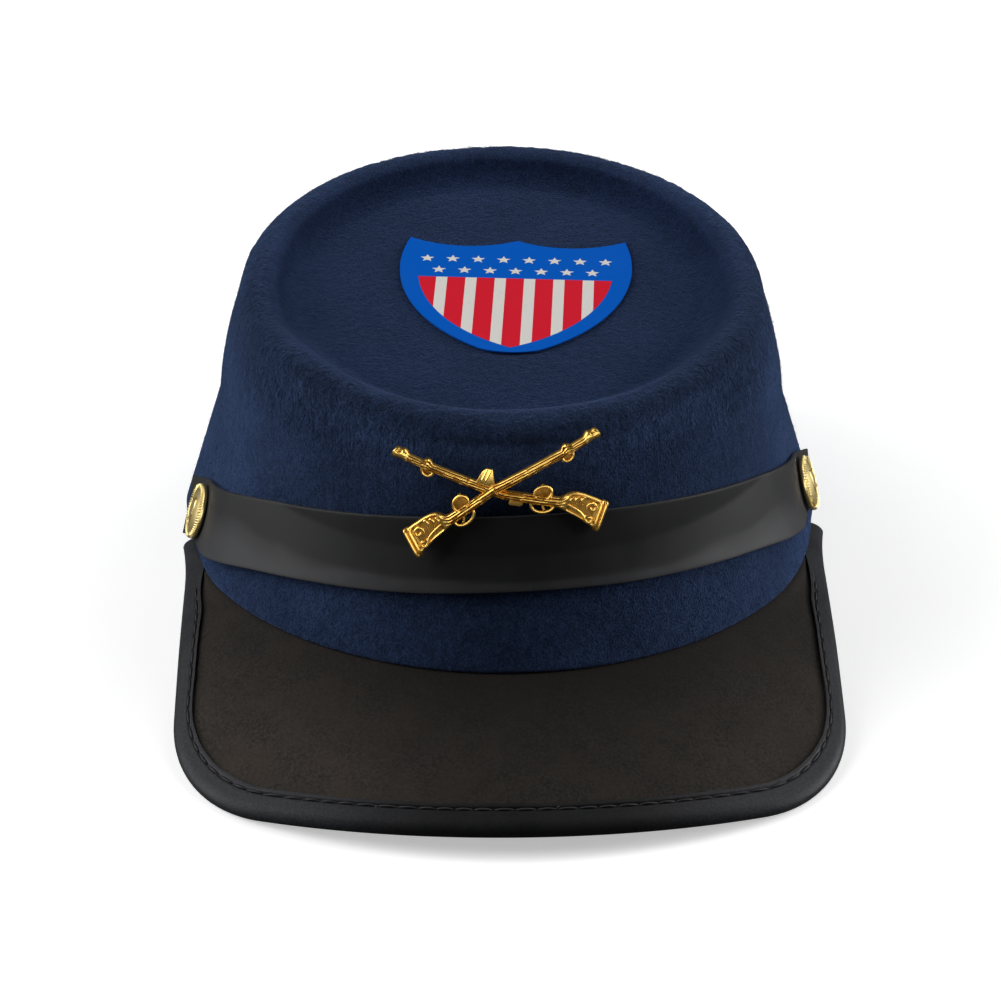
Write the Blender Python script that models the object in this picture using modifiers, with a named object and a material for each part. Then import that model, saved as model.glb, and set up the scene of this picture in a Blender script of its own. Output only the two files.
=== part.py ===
"""Kepi cap: a soft felt crown with a dished top, a sloping peak with a bound edge, a front strap held by two
buttons, a crossed-rifles badge and a shield patch.

Lengths are metres. The cap is modelled in its own frame: the hem's oval is centred on the origin in the plane
z = 0, the front faces -Y and +X is the right of a viewer who faces the front. The whole cap is then tipped back
until it stands on the peak's two corners and the back of the hem. Angles around the cap start at the front and
grow towards +X.
"""

import math

import bmesh
import bpy
from mathutils import Matrix, Vector

# Crown
HEM_HALF_WIDTH = 0.0905
HEM_HALF_LENGTH = 0.0960
TOP_HALF_WIDTH = 0.0722
TOP_HALF_LENGTH = 0.0784
TOP_FULLNESS = 2.08  # exponent of the top oval: 2 is an ellipse, more is squarer
TOP_FORWARD = 0.0065  # how far the top oval sits towards the front
TOP_HEIGHT = 0.0673
TOP_TILT = math.radians(7.4)  # the back is higher
WAIST_DEPTH = 0.0017  # how far the strap draws the wall in
WAIST_SHARE = 0.54  # of the wall's height
SWELL = 0.0012  # of the wall above the waist
ROLL_RADIUS = 0.0065
OUTER_ROLL_DEGREES = (30, 60, 90)
INNER_ROLL_DEGREES = (112, 136, 158)
DISH_DEPTH = 0.0060
RIM_LIFT = 0.0020  # the rolled edge is drawn up and back at the front
RIM_SET_BACK = 0.0025
RIM_SPAN = (0.20, 0.60)  # cosines of the angles between which this comes in
RIM_START = 0.78  # share of the wall's height where it starts
FELT = 0.0025
HEM_ALLOWANCE = 0.0020  # wall below the hem, cut off level
AROUND = 48
WALL_SHARES = (0.12, 0.26, 0.40, WAIST_SHARE, 0.70, 0.85, 1.0)

# The felt is drawn in under each button. A pinch fades out over its reach ahead and behind, in degrees, and is
# deepest at the strap's level. The strap bridges the part of a pinch ahead of the button.
PINCHES = (
    {"place": -80, "ahead": 20, "behind": 20},
    {"place": 80, "ahead": 30, "behind": 14},
)
HEM_PINCH = 0.0018
STRAP_PINCH = 0.0018
STRAP_PINCH_SHARE = 0.20  # of the wall's height
STRAP_PINCH_REACH = 0.30
BRIDGE_SHARE = 0.72

# Peak and its binding
PEAK_FRONT = 0.1364
PEAK_FRONT_RADIUS = 0.172
PEAK_CORNER_RADIUS = 0.038
PEAK_HALF_WIDTH = 0.0888
PEAK_PIVOT = 0.0220  # how far in front of the cap's middle the peak turns
PEAK_ENDS = {-1: 0.0190, 1: 0.0125}  # how far in front of the cap's middle each side ends
PEAK_END_FLARE = 0.0018
PEAK_TURN = math.radians(-2.2)  # the peak sits slightly askew on the crown
PEAK_SLOPE = math.radians(30)
PEAK_BEND = 0.0015  # half the run over which the board bends down from its seat
BOARD = 0.0020
TAPE = 0.0007
TAPE_REACH = 0.0073  # in plan, from the bound edge inwards
TAPE_END_REACH = 0.0061  # the same at the peak's narrow ends
TAPE_NOSE = 0.0013  # gap and tape in front of the board's edge
TAPE_NOSE_DEGREES = (55, 20, -20, -55)
GAP = 0.0003

# Strap
STRAP_WIDTH = 0.0213
STRAP_NARROWING = 0.0020  # of the lower edge, from the front to the ends
STRAP_NARROWING_SPAN = (math.radians(15), math.radians(60))
STRAP_END_RISE = 0.0020  # of the lower edge, where it passes over the peak's ends
STRAP_END_RISE_SPAN = (math.radians(68), math.radians(82))
STRAP_TILT = 0.0019  # the right end is higher and the left end lower
STRAP_THICKNESS = 0.0010
STRAP_GAP = 0.0005
STRAP_HEIGHT = 0.03175  # its middle at the front
STRAP_CONE = math.radians(15.6)  # half angle of the cone that the flat strip wraps
STRAP_CONE_RADIUS = 0.0828
STRAP_END = math.radians(86)
STRAP_LIFT_START = math.radians(83)
STRAP_LIFT = 0.0008  # the stiff end stands off the felt
STRAP_COLUMNS = 60

# Buttons
BUTTON_RADIUS = 0.0079
BUTTON_EDGE = 0.0009
BUTTON_DOME = 0.0025
BUTTON_PLACES = {"button_left": math.radians(-77.5), "button_right": math.radians(79.5)}
BUTTON_RAISED = 0.0012  # above the strap's middle line
BUTTON_STAND_OFF = 0.0007
BUTTON_STEPS = 24

# Badge
BADGE_PLACE = math.radians(-3.3)
BADGE_HEIGHT = 0.0455
BADGE_LEAN = math.radians(10.4)
BADGE_STAND_OFF = 0.0012
BADGE_BEND_RADIUS = 0.095
RIFLE_THICKNESS = 0.0018
BLOCK_THICKNESS = 0.0012
RIFLE_OVERLAP = 0.0005  # the upper rifle lies this much further out
RIFLE_STEP = 0.004
RING_WIRE = 0.00045
RING_STEPS = 14
RING_SIDES = 5

# Shield patch
PATCH_CENTRE = (0.0034, -0.0052)
PATCH_TURN = math.radians(-5.5)
PATCH_THICKNESS = 0.0004
SHIELD_TIP = (0.0303, 0.0282)
SHIELD_CUSP = 0.0270
SHIELD_FOOT = -0.0324
SHIELD_FOOT_CORNER = (0.0077, -0.0310)
SHIELD_SIDE_RADIUS = 0.053
SHIELD_TOP_RADIUS = 0.031
SHIELD_FOOT_RADIUS = 0.022

PRESS = 0.0004  # how far felt and tape flatten where the cap stands
MOST_TILT = math.radians(20)
SHARP_ANGLE = math.radians(35)
BLOCK_SIZE = (0.40, 0.40, 0.04)  # of the blocks that cut the hem and the resting faces

# Each rifle: where its muzzle is on the badge, the barrel's angle, which side is its top (1 is left of the
# barrel's direction), how far the stock steps to that side, how much it turns down, and how far out it lies.
RIFLES = (
    {"muzzle": (0.0246, 0.0182), "angle": 28.4, "top": 1, "step": -0.0019, "drop": 6.2, "out": RIFLE_OVERLAP},
    {"muzzle": (-0.0276, 0.0127), "angle": 160.0, "top": -1, "step": 0.0028, "drop": 2.0, "out": 0.0},
)

# A rifle's outline: distance from the muzzle, and the edges above and below its axis.
RIFLE_OUTLINE = (
    # station, above, below
    (0.0000, 0.0012, 0.0012),
    (0.0006, 0.0017, 0.0012),
    (0.0014, 0.0010, 0.0010),
    (0.0020, 0.0019, 0.0010),
    (0.0030, 0.0018, 0.0009),
    (0.0036, 0.0009, 0.0009),
    (0.0080, 0.0009, 0.0009),
    (0.0084, 0.0020, 0.0010),
    (0.0098, 0.0019, 0.0010),
    (0.0102, 0.0010, 0.0010),
    (0.0180, 0.0011, 0.0011),
    (0.0300, 0.0012, 0.0012),
    (0.0365, 0.0012, 0.0013),
    (0.0440, 0.0014, 0.0015),
    (0.0466, 0.0016, 0.0016),
    (0.0474, 0.0037, 0.0018),
    (0.0500, 0.0042, 0.0021),
    (0.0534, 0.0041, 0.0030),
    (0.0554, 0.0038, 0.0036),
    (0.0556, 0.0042, 0.0042),
    (0.0569, 0.0041, 0.0041),
)
STOCK_START = 0.030
STOCK_WRIST = 0.044

# Blocks on the lower rifle: the stations they run between, and the sides of its axis they run between.
RIFLE_BLOCKS = (
    {"start": 0.0226, "end": 0.0250, "low": 0.0, "high": 0.0054},
    {"start": 0.0314, "end": 0.0358, "low": -0.0030, "high": 0.0},
)

# Rings that stand off a rifle: station and height of the middle, and the half sizes along and across.
RIFLE_RINGS = (
    {"station": 0.0398, "height": 0.0018, "along": 0.0022, "across": 0.0021},
    {"station": 0.0404, "height": -0.0018, "along": 0.0028, "across": 0.0019},
    {"station": 0.0100, "height": -0.0014, "along": 0.0014, "across": 0.0012},
)


def clear_scene():
    for scene_object in list(bpy.data.objects):
        bpy.data.objects.remove(scene_object, do_unlink=True)


def new_collection(name):
    collection = bpy.data.collections.new(name)
    bpy.context.scene.collection.children.link(collection)
    return collection


def material(name, colour, roughness, metallic=0.0):
    made = bpy.data.materials.new(name)
    made.use_nodes = True
    made.diffuse_color = (*colour, 1.0)
    shader = made.node_tree.nodes["Principled BSDF"]
    shader.inputs["Base Color"].default_value = (*colour, 1.0)
    shader.inputs["Roughness"].default_value = roughness
    shader.inputs["Metallic"].default_value = metallic
    return made


def add_object(name, data, collection, parent=None):
    made = bpy.data.objects.new(name, data)
    made.parent = parent
    collection.objects.link(made)
    return made


def skin(name, rows, closed=False, tip=None, capped=False, looped=False):
    """A mesh through rows of points, each row closed or not. The last row ends in a tip, in a face over each end
    or joined to the first row, where these are asked for.
    """
    shape = bmesh.new()
    grid = [[shape.verts.new(point) for point in row] for row in rows]
    count = len(grid[0])
    for row, following in zip(grid, grid[1:] + grid[:1] if looped else grid[1:]):
        for i in range(count if closed else count - 1):
            j = (i + 1) % count
            shape.faces.new((row[i], row[j], following[j], following[i]))
    if tip is not None:
        middle = shape.verts.new(tip)
        for i in range(count):
            shape.faces.new((grid[-1][i], grid[-1][(i + 1) % count], middle))
    if capped:
        shape.faces.new(list(reversed(grid[0])))
        shape.faces.new(grid[-1])
    if capped or looped:
        bmesh.ops.recalc_face_normals(shape, faces=shape.faces)
    mesh = bpy.data.meshes.new(name)
    shape.to_mesh(mesh)
    shape.free()
    mesh.shade_smooth()
    mesh.set_sharp_from_angle(angle=SHARP_ANGLE)
    return mesh


def thicken(piece, thickness, offset):
    solidify = piece.modifiers.new("Thickness", "SOLIDIFY")
    solidify.thickness = thickness
    solidify.offset = offset
    solidify.use_even_offset = True


def boolean(piece, operation, other):
    made = piece.modifiers.new(f"{operation.title()} {other.name}", "BOOLEAN")
    made.operation = operation
    made.solver = "EXACT"
    made.object = other


def hide(helper):
    helper.hide_render = True
    helper.display_type = "WIRE"


def smooth_share(value, start, end):
    """0 up to start and 1 from end on, with an even ease between."""
    share = min(max((value - start) / (end - start), 0.0), 1.0)
    return share * share * (3 - 2 * share)


# ------------------------------------------------------------------------------------------------ crown surface


def outward(angle):
    normal = Vector((math.sin(angle) / HEM_HALF_WIDTH, -math.cos(angle) / HEM_HALF_LENGTH, 0))
    return normal.normalized()


def pinch_share(angle):
    """How far into a pinch an angle is: 0 outside and 1 at its place, and the share of the strap that bridges it."""
    for pinch in PINCHES:
        behind = (math.degrees(angle) - pinch["place"]) * math.copysign(1, pinch["place"])
        away = behind / pinch["behind"] if behind > 0 else -behind / pinch["ahead"]
        if away < 1:
            share = math.cos(away * math.pi / 2) ** 2
            bridge = share - max(1 - away / BRIDGE_SHARE, 0) if behind < 0 else 0.0
            return share, bridge
    return 0.0, 0.0


def pinch_depth(share):
    level = min(abs(share - STRAP_PINCH_SHARE) / STRAP_PINCH_REACH, 1.0)
    return HEM_PINCH * (1 - share) + STRAP_PINCH * math.cos(level * math.pi / 2) ** 2


def hem_oval(angle):
    return Vector((HEM_HALF_WIDTH * math.sin(angle), -HEM_HALF_LENGTH * math.cos(angle), 0))


def hem_point(angle):
    return hem_oval(angle) - outward(angle) * pinch_depth(0) * pinch_share(angle)[0]


def fuller(value):
    return math.copysign(abs(value) ** (2 / TOP_FULLNESS), value)


def shoulder_point(angle):
    forward = TOP_HALF_LENGTH * fuller(math.cos(angle))
    height = TOP_HEIGHT - forward * math.tan(TOP_TILT)
    return Vector((TOP_HALF_WIDTH * fuller(math.sin(angle)), -TOP_FORWARD - forward, height))


def rim_shift(angle):
    return Vector((0, RIM_SET_BACK, RIM_LIFT)) * smooth_share(math.cos(angle), *RIM_SPAN)


def wall_point(angle, share, proud=0.0):
    """A point of the outer wall at a share of its height, stood off it by proud."""
    if share < WAIST_SHARE:
        swell = -WAIST_DEPTH * share / WAIST_SHARE
    else:
        above = (share - WAIST_SHARE) / (1 - WAIST_SHARE)
        swell = SWELL * math.sin(math.pi * above) - WAIST_DEPTH * (1 - above)
    swell -= pinch_depth(share) * pinch_share(angle)[0]
    drawn = rim_shift(angle) * smooth_share(share, RIM_START, 1.0)
    return hem_oval(angle).lerp(shoulder_point(angle), share) + outward(angle) * (swell + proud) + drawn


def wall_at_height(angle, height, proud=0.0):
    return wall_point(angle, height / shoulder_point(angle).z, proud)


def floor_height(y):
    """The height of the dish's flat floor, which tilts as the top does."""
    middle = TOP_HEIGHT + (ROLL_RADIUS - DISH_DEPTH) / math.cos(TOP_TILT)
    return middle + (y + TOP_FORWARD) * math.tan(TOP_TILT)


def roll_point(angle, turn):
    """A point of the rolled edge, from the shoulder at 0 to the crest at a quarter turn."""
    lift = Vector((0, -math.sin(TOP_TILT), math.cos(TOP_TILT))) * ROLL_RADIUS * math.sin(turn)
    inset = outward(angle) * ROLL_RADIUS * (1 - math.cos(turn))
    return shoulder_point(angle) + rim_shift(angle) + lift - inset


def dish_point(angle, inset, rise):
    """A point inside the crest. Rise is 1 on the crest and 0 on the floor."""
    crest = roll_point(angle, math.pi / 2)
    place = crest - outward(angle) * inset
    place.z = floor_height(place.y) + (crest.z - floor_height(crest.y)) * rise
    return place


def dish_profile():
    """Inset and rise from the crest down to the floor: the rest of the roll, then the hollow corner."""
    profile = []
    for degrees in INNER_ROLL_DEGREES:
        turn = math.radians(degrees)
        rise = 1 - ROLL_RADIUS * (1 - math.sin(turn)) / DISH_DEPTH
        profile.append((-ROLL_RADIUS * math.cos(turn), rise))
    last_inset, last_rise = profile[-1]
    slope = math.radians(INNER_ROLL_DEGREES[-1] - 90)
    corner = last_rise * DISH_DEPTH / (1 - math.cos(slope))
    for part in (2 / 3, 1 / 3, 0):
        inset = last_inset + corner * (math.sin(slope) - math.sin(slope * part))
        profile.append((inset, corner * (1 - math.cos(slope * part)) / DISH_DEPTH))
    return profile


def make_crown(collection, frame):
    angles = [2 * math.pi * i / AROUND - math.pi for i in range(AROUND)]
    below = -HEM_ALLOWANCE / TOP_HEIGHT
    rings = [[wall_point(angle, share) for angle in angles] for share in (below, *WALL_SHARES)]
    for degrees in OUTER_ROLL_DEGREES:
        rings.append([roll_point(angle, math.radians(degrees)) for angle in angles])
    for inset, rise in dish_profile():
        rings.append([dish_point(angle, inset, rise) for angle in angles])
    middle = Vector((0, -TOP_FORWARD, floor_height(-TOP_FORWARD)))
    rings.append([point.lerp(middle, 0.5) for point in rings[-1]])
    crown = add_object("crown", skin("crown", rings, closed=True, tip=middle), collection, frame)
    thicken(crown, FELT, -1)
    crown.data.materials.append(material("Blue felt", (0.012, 0.020, 0.050), 0.95))
    return crown


# ------------------------------------------------------------------------------------------------ peak


def peak_outline():
    """The bound edge in plan, from the end at -X round the front to the end at +X."""
    corner_x = PEAK_HALF_WIDTH - PEAK_CORNER_RADIUS
    front_centre = PEAK_FRONT_RADIUS - PEAK_FRONT
    reach = PEAK_FRONT_RADIUS - PEAK_CORNER_RADIUS
    corner_y = front_centre - math.sqrt(reach**2 - corner_x**2)
    front_turn = math.asin(corner_x / reach)
    half = []
    for i in range(7):
        turn = front_turn * i / 7
        half.append((PEAK_FRONT_RADIUS * math.sin(turn), front_centre - PEAK_FRONT_RADIUS * math.cos(turn)))
    for i in range(8):
        turn = front_turn + (math.pi / 2 - front_turn) * i / 7
        x = corner_x + PEAK_CORNER_RADIUS * math.sin(turn)
        half.append((x, corner_y - PEAK_CORNER_RADIUS * math.cos(turn)))
    sides = {}
    for side, end in PEAK_ENDS.items():
        sides[side] = [(side * x, y) for x, y in half]
        for i in range(1, 13):
            y = corner_y + (-end - corner_y) * i / 12
            flare = PEAK_END_FLARE * max((y + end + PEAK_PIVOT) / PEAK_PIVOT, 0) ** 2
            sides[side].append((side * (PEAK_HALF_WIDTH + flare), y))
    turn, pivot = Matrix.Rotation(PEAK_TURN, 2), Vector((0, PEAK_PIVOT))
    return [turn @ (Vector(point) + pivot) - pivot for point in sides[-1][:0:-1] + sides[1]]


def foot_on_hem(x, y):
    """The angle at which a line square to the hem's oval meets a point in plan, and how far out the point is."""
    low, high = (0.0, math.pi / 2) if x >= 0 else (-math.pi / 2, 0.0)
    for _ in range(40):
        middle = (low + high) / 2
        hem, normal = hem_point(middle), outward(middle)
        aside = (x - hem.x) * -normal.y + (y - hem.y) * normal.x
        low, high = (middle, high) if aside > 0 else (low, middle)
    return low, (Vector((x, y, 0)) - hem_point(low)).dot(outward(low))


def tape_reach(reach):
    return TAPE_END_REACH + (TAPE_REACH - TAPE_END_REACH) * smooth_share(reach, 0.008, 0.014)


def board_frame(angle, reach, run):
    """The board's top face at a plan distance run from the hem: a place, the direction outwards and the normal.

    Reach is the peak's whole run there: where it is short, the tape passes under the hem and the board sits
    lower to leave room for it.
    """
    lowered = (TAPE + GAP) * (1 - smooth_share(reach, 0.008, 0.020))
    if run <= -PEAK_BEND:
        bent, steepness = 0.0, 0.0
    elif run < PEAK_BEND:
        bent = (run + PEAK_BEND) ** 2 / (4 * PEAK_BEND)
        steepness = (run + PEAK_BEND) / (2 * PEAK_BEND)
    else:
        bent, steepness = run, 1.0
    slope = math.tan(PEAK_SLOPE)
    up = Vector((0, 0, 1))
    place = hem_point(angle) + outward(angle) * run - up * (GAP + lowered + slope * bent)
    along = (outward(angle) - up * slope * steepness).normalized()
    normal = (up + outward(angle) * slope * steepness).normalized()
    return place, along, normal


def board_place(angle, reach, run, above):
    place, _, normal = board_frame(angle, reach, run)
    return place + normal * above


def board_row(x, y):
    """The board's section: from under the hem out to its edge along the top, and back below."""
    angle, reach = foot_on_hem(x, y)
    edge = reach - TAPE_NOSE
    runs = [min(run, (edge + FELT) * i / 6 - FELT) for i, run in enumerate((-FELT, -FELT / 2, 0.0, PEAK_BEND))]
    runs += [runs[-1] + (edge - runs[-1]) * i / 3 for i in (1, 2, 3)]
    top = [board_place(angle, reach, run, 0.0) for run in runs]
    return top + [board_place(angle, reach, run, -BOARD) for run in reversed(runs)]


def tape_row(x, y):
    """The folded tape's section: out along its top, round the edge, back below, and along its inner faces."""
    angle, reach = foot_on_hem(x, y)
    edge = reach - TAPE_NOSE
    inner = max(reach - tape_reach(reach), -0.9 * FELT)
    half = BOARD / 2 + GAP + TAPE
    leg_end = edge + TAPE_NOSE - half
    runs = [inner, (inner + leg_end) / 2, leg_end]
    place, along, normal = board_frame(angle, reach, edge)
    nose = []
    for degrees in TAPE_NOSE_DEGREES:
        turn = math.radians(degrees)
        ahead = TAPE_NOSE - half * (1 - math.cos(turn))
        nose.append(place + along * ahead + normal * (half * math.sin(turn) - BOARD / 2))
    section = [board_place(angle, reach, run, GAP + TAPE) for run in runs]
    section += nose
    section += [board_place(angle, reach, run, -BOARD - GAP - TAPE) for run in reversed(runs)]
    section += [board_place(angle, reach, run, -BOARD - GAP) for run in runs]
    section += [place + along * GAP - normal * (BOARD + GAP), place + along * GAP + normal * GAP]
    section += [board_place(angle, reach, run, GAP) for run in reversed(runs)]
    return section


def make_peak(collection, frame):
    mesh = skin("peak", [board_row(x, y) for x, y in peak_outline()], closed=True, capped=True)
    peak = add_object("peak", mesh, collection, frame)
    peak.data.materials.append(material("Brown suede board", (0.020, 0.017, 0.014), 0.85))
    return peak


def make_binding(collection, frame):
    mesh = skin("peak_binding", [tape_row(x, y) for x, y in peak_outline()], closed=True, capped=True)
    binding = add_object("peak_binding", mesh, collection, frame)
    binding.data.materials.append(material("Black folded tape", (0.022, 0.022, 0.021), 0.55))
    return binding


# ------------------------------------------------------------------------------------------------ strap, buttons


def strap_place(along, across):
    """The angle and height on the crown of a point of the flat strip, which wraps a cone without creasing."""
    apex_to_strap = STRAP_CONE_RADIUS / math.sin(STRAP_CONE)
    apex_height = STRAP_HEIGHT + apex_to_strap * math.cos(STRAP_CONE)
    down = apex_to_strap - across
    angle = math.atan2(along, down) / math.sin(STRAP_CONE)
    return angle, apex_height - math.hypot(along, down) * math.cos(STRAP_CONE)


def strap_length_to(angle):
    """Distance along the strip's middle from the front to an angle round the cap."""
    return STRAP_CONE_RADIUS / math.sin(STRAP_CONE) * math.tan(angle * math.sin(STRAP_CONE))


def strap_point(along, across):
    angle, height = strap_place(along, across)
    height += STRAP_TILT * math.sin(angle)
    lift = STRAP_LIFT * max(abs(angle) - STRAP_LIFT_START, 0) / (STRAP_END - STRAP_LIFT_START)
    bridge = pinch_depth(height / TOP_HEIGHT) * pinch_share(angle)[1]
    return wall_at_height(angle, height, STRAP_GAP + lift + bridge)


def make_strap(collection, frame):
    half_length = strap_length_to(STRAP_END)
    rows = []
    for i in range(STRAP_COLUMNS + 1):
        along = half_length * (2 * i / STRAP_COLUMNS - 1)
        angle, _ = strap_place(along, 0)
        lower = STRAP_NARROWING * smooth_share(abs(angle), *STRAP_NARROWING_SPAN) - STRAP_WIDTH / 2
        lower += STRAP_END_RISE * smooth_share(abs(angle), *STRAP_END_RISE_SPAN)
        rows.append([strap_point(along, across) for across in (STRAP_WIDTH / 2, 0.0, lower)])
    strap = add_object("strap", skin("strap", rows), collection, frame)
    thicken(strap, STRAP_THICKNESS, 1)
    strap.data.materials.append(material("Black satin strap", (0.016, 0.016, 0.017), 0.40))
    return strap


def button_mesh():
    """A turned domed disc, its flat back on the plane z = 0."""
    dome_foot = BUTTON_RADIUS - 2 * BUTTON_EDGE
    profile = []
    for i in range(6):
        turn = math.pi / 2 * (1 - i / 5)
        profile.append((dome_foot * math.cos(turn), BUTTON_EDGE + (BUTTON_DOME - BUTTON_EDGE) * math.sin(turn)))
    for degrees in (140, 90, 40, 0):
        turn = math.radians(degrees)
        ring = BUTTON_RADIUS - BUTTON_EDGE
        profile.append((ring + BUTTON_EDGE * math.cos(turn), BUTTON_EDGE * (1 + math.sin(turn))))
    profile += [(BUTTON_RADIUS - BUTTON_EDGE / 2, 0), (0, 0)]
    shape = bmesh.new()
    points = [shape.verts.new((x, 0, z)) for x, z in profile]
    for first, second in zip(points, points[1:]):
        shape.edges.new((first, second))
    mesh = bpy.data.meshes.new("button")
    shape.to_mesh(mesh)
    shape.free()
    return mesh


def make_buttons(collection, frame):
    brass = material("Brass", (0.70, 0.47, 0.16), 0.30, 1.0)
    mesh = button_mesh()
    mesh.materials.append(brass)
    buttons = []
    for name, place in BUTTON_PLACES.items():
        along = strap_length_to(place)
        front, back = (strap_point(along + reach, BUTTON_RAISED) for reach in (-BUTTON_RADIUS, BUTTON_RADIUS))
        low, high = (strap_point(along, BUTTON_RAISED + reach) for reach in (-BUTTON_RADIUS, BUTTON_RADIUS))
        face = (back - front).cross(high - low).normalized()
        seat = (front + back) / 2
        button = add_object(name, mesh, collection, frame)
        button.rotation_euler = face.to_track_quat("Z", "Y").to_euler()
        button.location = seat + face * (STRAP_THICKNESS + BUTTON_STAND_OFF)
        turned = button.modifiers.new("Turned profile", "SCREW")
        turned.steps = BUTTON_STEPS
        turned.render_steps = BUTTON_STEPS
        turned.use_merge_vertices = True
        turned.merge_threshold = 0.00001
        turned.use_smooth_shade = True
        buttons.append(button)
    return buttons


# ------------------------------------------------------------------------------------------------ badge


def rifle_axis(rifle, station):
    """The place of a rifle's axis on the flat badge at a distance from its muzzle, its top side and its back."""
    angle = math.radians(rifle["angle"])
    back = Vector((-math.cos(angle), -math.sin(angle)))
    top = Vector((-math.sin(angle), math.cos(angle))) * rifle["top"]
    place = Vector(rifle["muzzle"]) + back * station
    stepped = min(max((station - STOCK_START) / (STOCK_WRIST - STOCK_START), 0), 1)
    drop = math.tan(math.radians(rifle["drop"])) * max(station - STOCK_WRIST, 0)
    return place + top * (rifle["step"] * stepped - drop), top, back


def on_badge(flat, out):
    """A flat point bent round the badge's cylinder, in the badge's own frame (x right, y up, z out)."""
    turn = flat.x / BADGE_BEND_RADIUS
    radius = BADGE_BEND_RADIUS + out
    return Vector((radius * math.sin(turn), flat.y, radius * math.cos(turn) - BADGE_BEND_RADIUS))


def outline_at(station):
    for low, high in zip(RIFLE_OUTLINE, RIFLE_OUTLINE[1:]):
        if station <= high[0]:
            share = (station - low[0]) / (high[0] - low[0])
            return [a + (b - a) * share for a, b in zip(low[1:], high[1:])]
    return RIFLE_OUTLINE[-1][1:]


def rifle_stations():
    stations = []
    for low, high in zip(RIFLE_OUTLINE, RIFLE_OUTLINE[1:]):
        steps = max(1, round((high[0] - low[0]) / RIFLE_STEP))
        stations += [low[0] + (high[0] - low[0]) * i / steps for i in range(steps)]
    return stations + [RIFLE_OUTLINE[-1][0]]


def rifle_body(rifle):
    rows = []
    for station in rifle_stations():
        above, below = outline_at(station)
        place, top, _ = rifle_axis(rifle, station)
        corners = ((above, 0), (above, RIFLE_THICKNESS), (-below, RIFLE_THICKNESS), (-below, 0))
        rows.append([on_badge(place + top * side, rifle["out"] + out) for side, out in corners])
    return skin("rifle", rows, closed=True, capped=True)


def rifle_block(rifle, block):
    rows = []
    for station in (block["start"], block["end"]):
        place, top, _ = rifle_axis(rifle, station)
        corners = [(block[side], out) for side, out in (("high", 0), ("high", 1), ("low", 1), ("low", 0))]
        rows.append([on_badge(place + top * side, BLOCK_THICKNESS * out) for side, out in corners])
    return skin("block", rows, closed=True, capped=True)


def rifle_ring(rifle, ring):
    """A wire ring beside a rifle, half of it buried in the rifle's edge."""
    axis, top, back = rifle_axis(rifle, ring["station"])
    middle = axis + top * ring["height"]
    middle_out = rifle["out"] + RIFLE_THICKNESS / 2
    rows = []
    for i in range(RING_STEPS):
        turn = 2 * math.pi * i / RING_STEPS
        centre = middle + back * ring["along"] * math.cos(turn) + top * ring["across"] * math.sin(turn)
        spoke = back * math.cos(turn) + top * math.sin(turn)
        section = []
        for j in range(RING_SIDES):
            around = 2 * math.pi * j / RING_SIDES
            flat = centre + spoke * RING_WIRE * math.cos(around)
            section.append(on_badge(flat, middle_out + RING_WIRE * math.sin(around)))
        rows.append(section)
    return skin("ring", rows, closed=True, looped=True)


def badge_frame():
    """The badge's place: x runs right, y up the leaning wall and z out from it."""
    place = wall_at_height(BADGE_PLACE, BADGE_HEIGHT, BADGE_STAND_OFF)
    out = outward(BADGE_PLACE) * math.cos(BADGE_LEAN) + Vector((0, 0, math.sin(BADGE_LEAN)))
    right = Vector((0, 0, 1)).cross(out).normalized()
    return Matrix.Translation(place) @ Matrix((right, out.cross(right), out)).transposed().to_4x4()


def make_badge(collection, helpers, frame):
    place = badge_frame()
    badge = add_object("rifles_badge", rifle_body(RIFLES[0]), collection, frame)
    badge.matrix_local = place
    joined = [rifle_body(RIFLES[1])]
    joined += [rifle_block(RIFLES[1], block) for block in RIFLE_BLOCKS]
    joined += [rifle_ring(rifle, ring) for rifle in RIFLES for ring in RIFLE_RINGS]
    for i, mesh in enumerate(joined):
        helper = add_object(f"badge_piece_{i}", mesh, helpers, frame)
        helper.matrix_local = place
        hide(helper)
        boolean(badge, "UNION", helper)
    badge.data.materials.append(material("Gold casting", (0.80, 0.52, 0.12), 0.28, 1.0))
    return badge


# ------------------------------------------------------------------------------------------------ shield patch


def arc(start, end, radius, steps):
    """Points after start up to end on an arc that bulges to the right of its direction, or left if radius < 0."""
    start, end = Vector(start), Vector(end)
    half = (end - start) / 2
    right = Vector((half.y, -half.x)).normalized()
    depth = math.sqrt(radius**2 - half.length_squared)
    centre = start + half - right * math.copysign(depth, radius)
    turn = 2 * math.asin(half.length / abs(radius)) * math.copysign(1, radius)
    return [centre + Matrix.Rotation(turn * i / steps, 2) @ (start - centre) for i in range(1, steps + 1)]


def shield_outline():
    """Half the shield counter-clockwise from its foot to its cusp, then the same half mirrored."""
    half = [Vector((0, SHIELD_FOOT))]
    half += arc((0, SHIELD_FOOT), SHIELD_FOOT_CORNER, SHIELD_FOOT_RADIUS, 2)
    half += arc(SHIELD_FOOT_CORNER, SHIELD_TIP, SHIELD_SIDE_RADIUS, 9)
    half += arc(SHIELD_TIP, (0, SHIELD_CUSP), -SHIELD_TOP_RADIUS, 6)
    return half + [Vector((-point.x, point.y)) for point in reversed(half[1:-1])]


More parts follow.
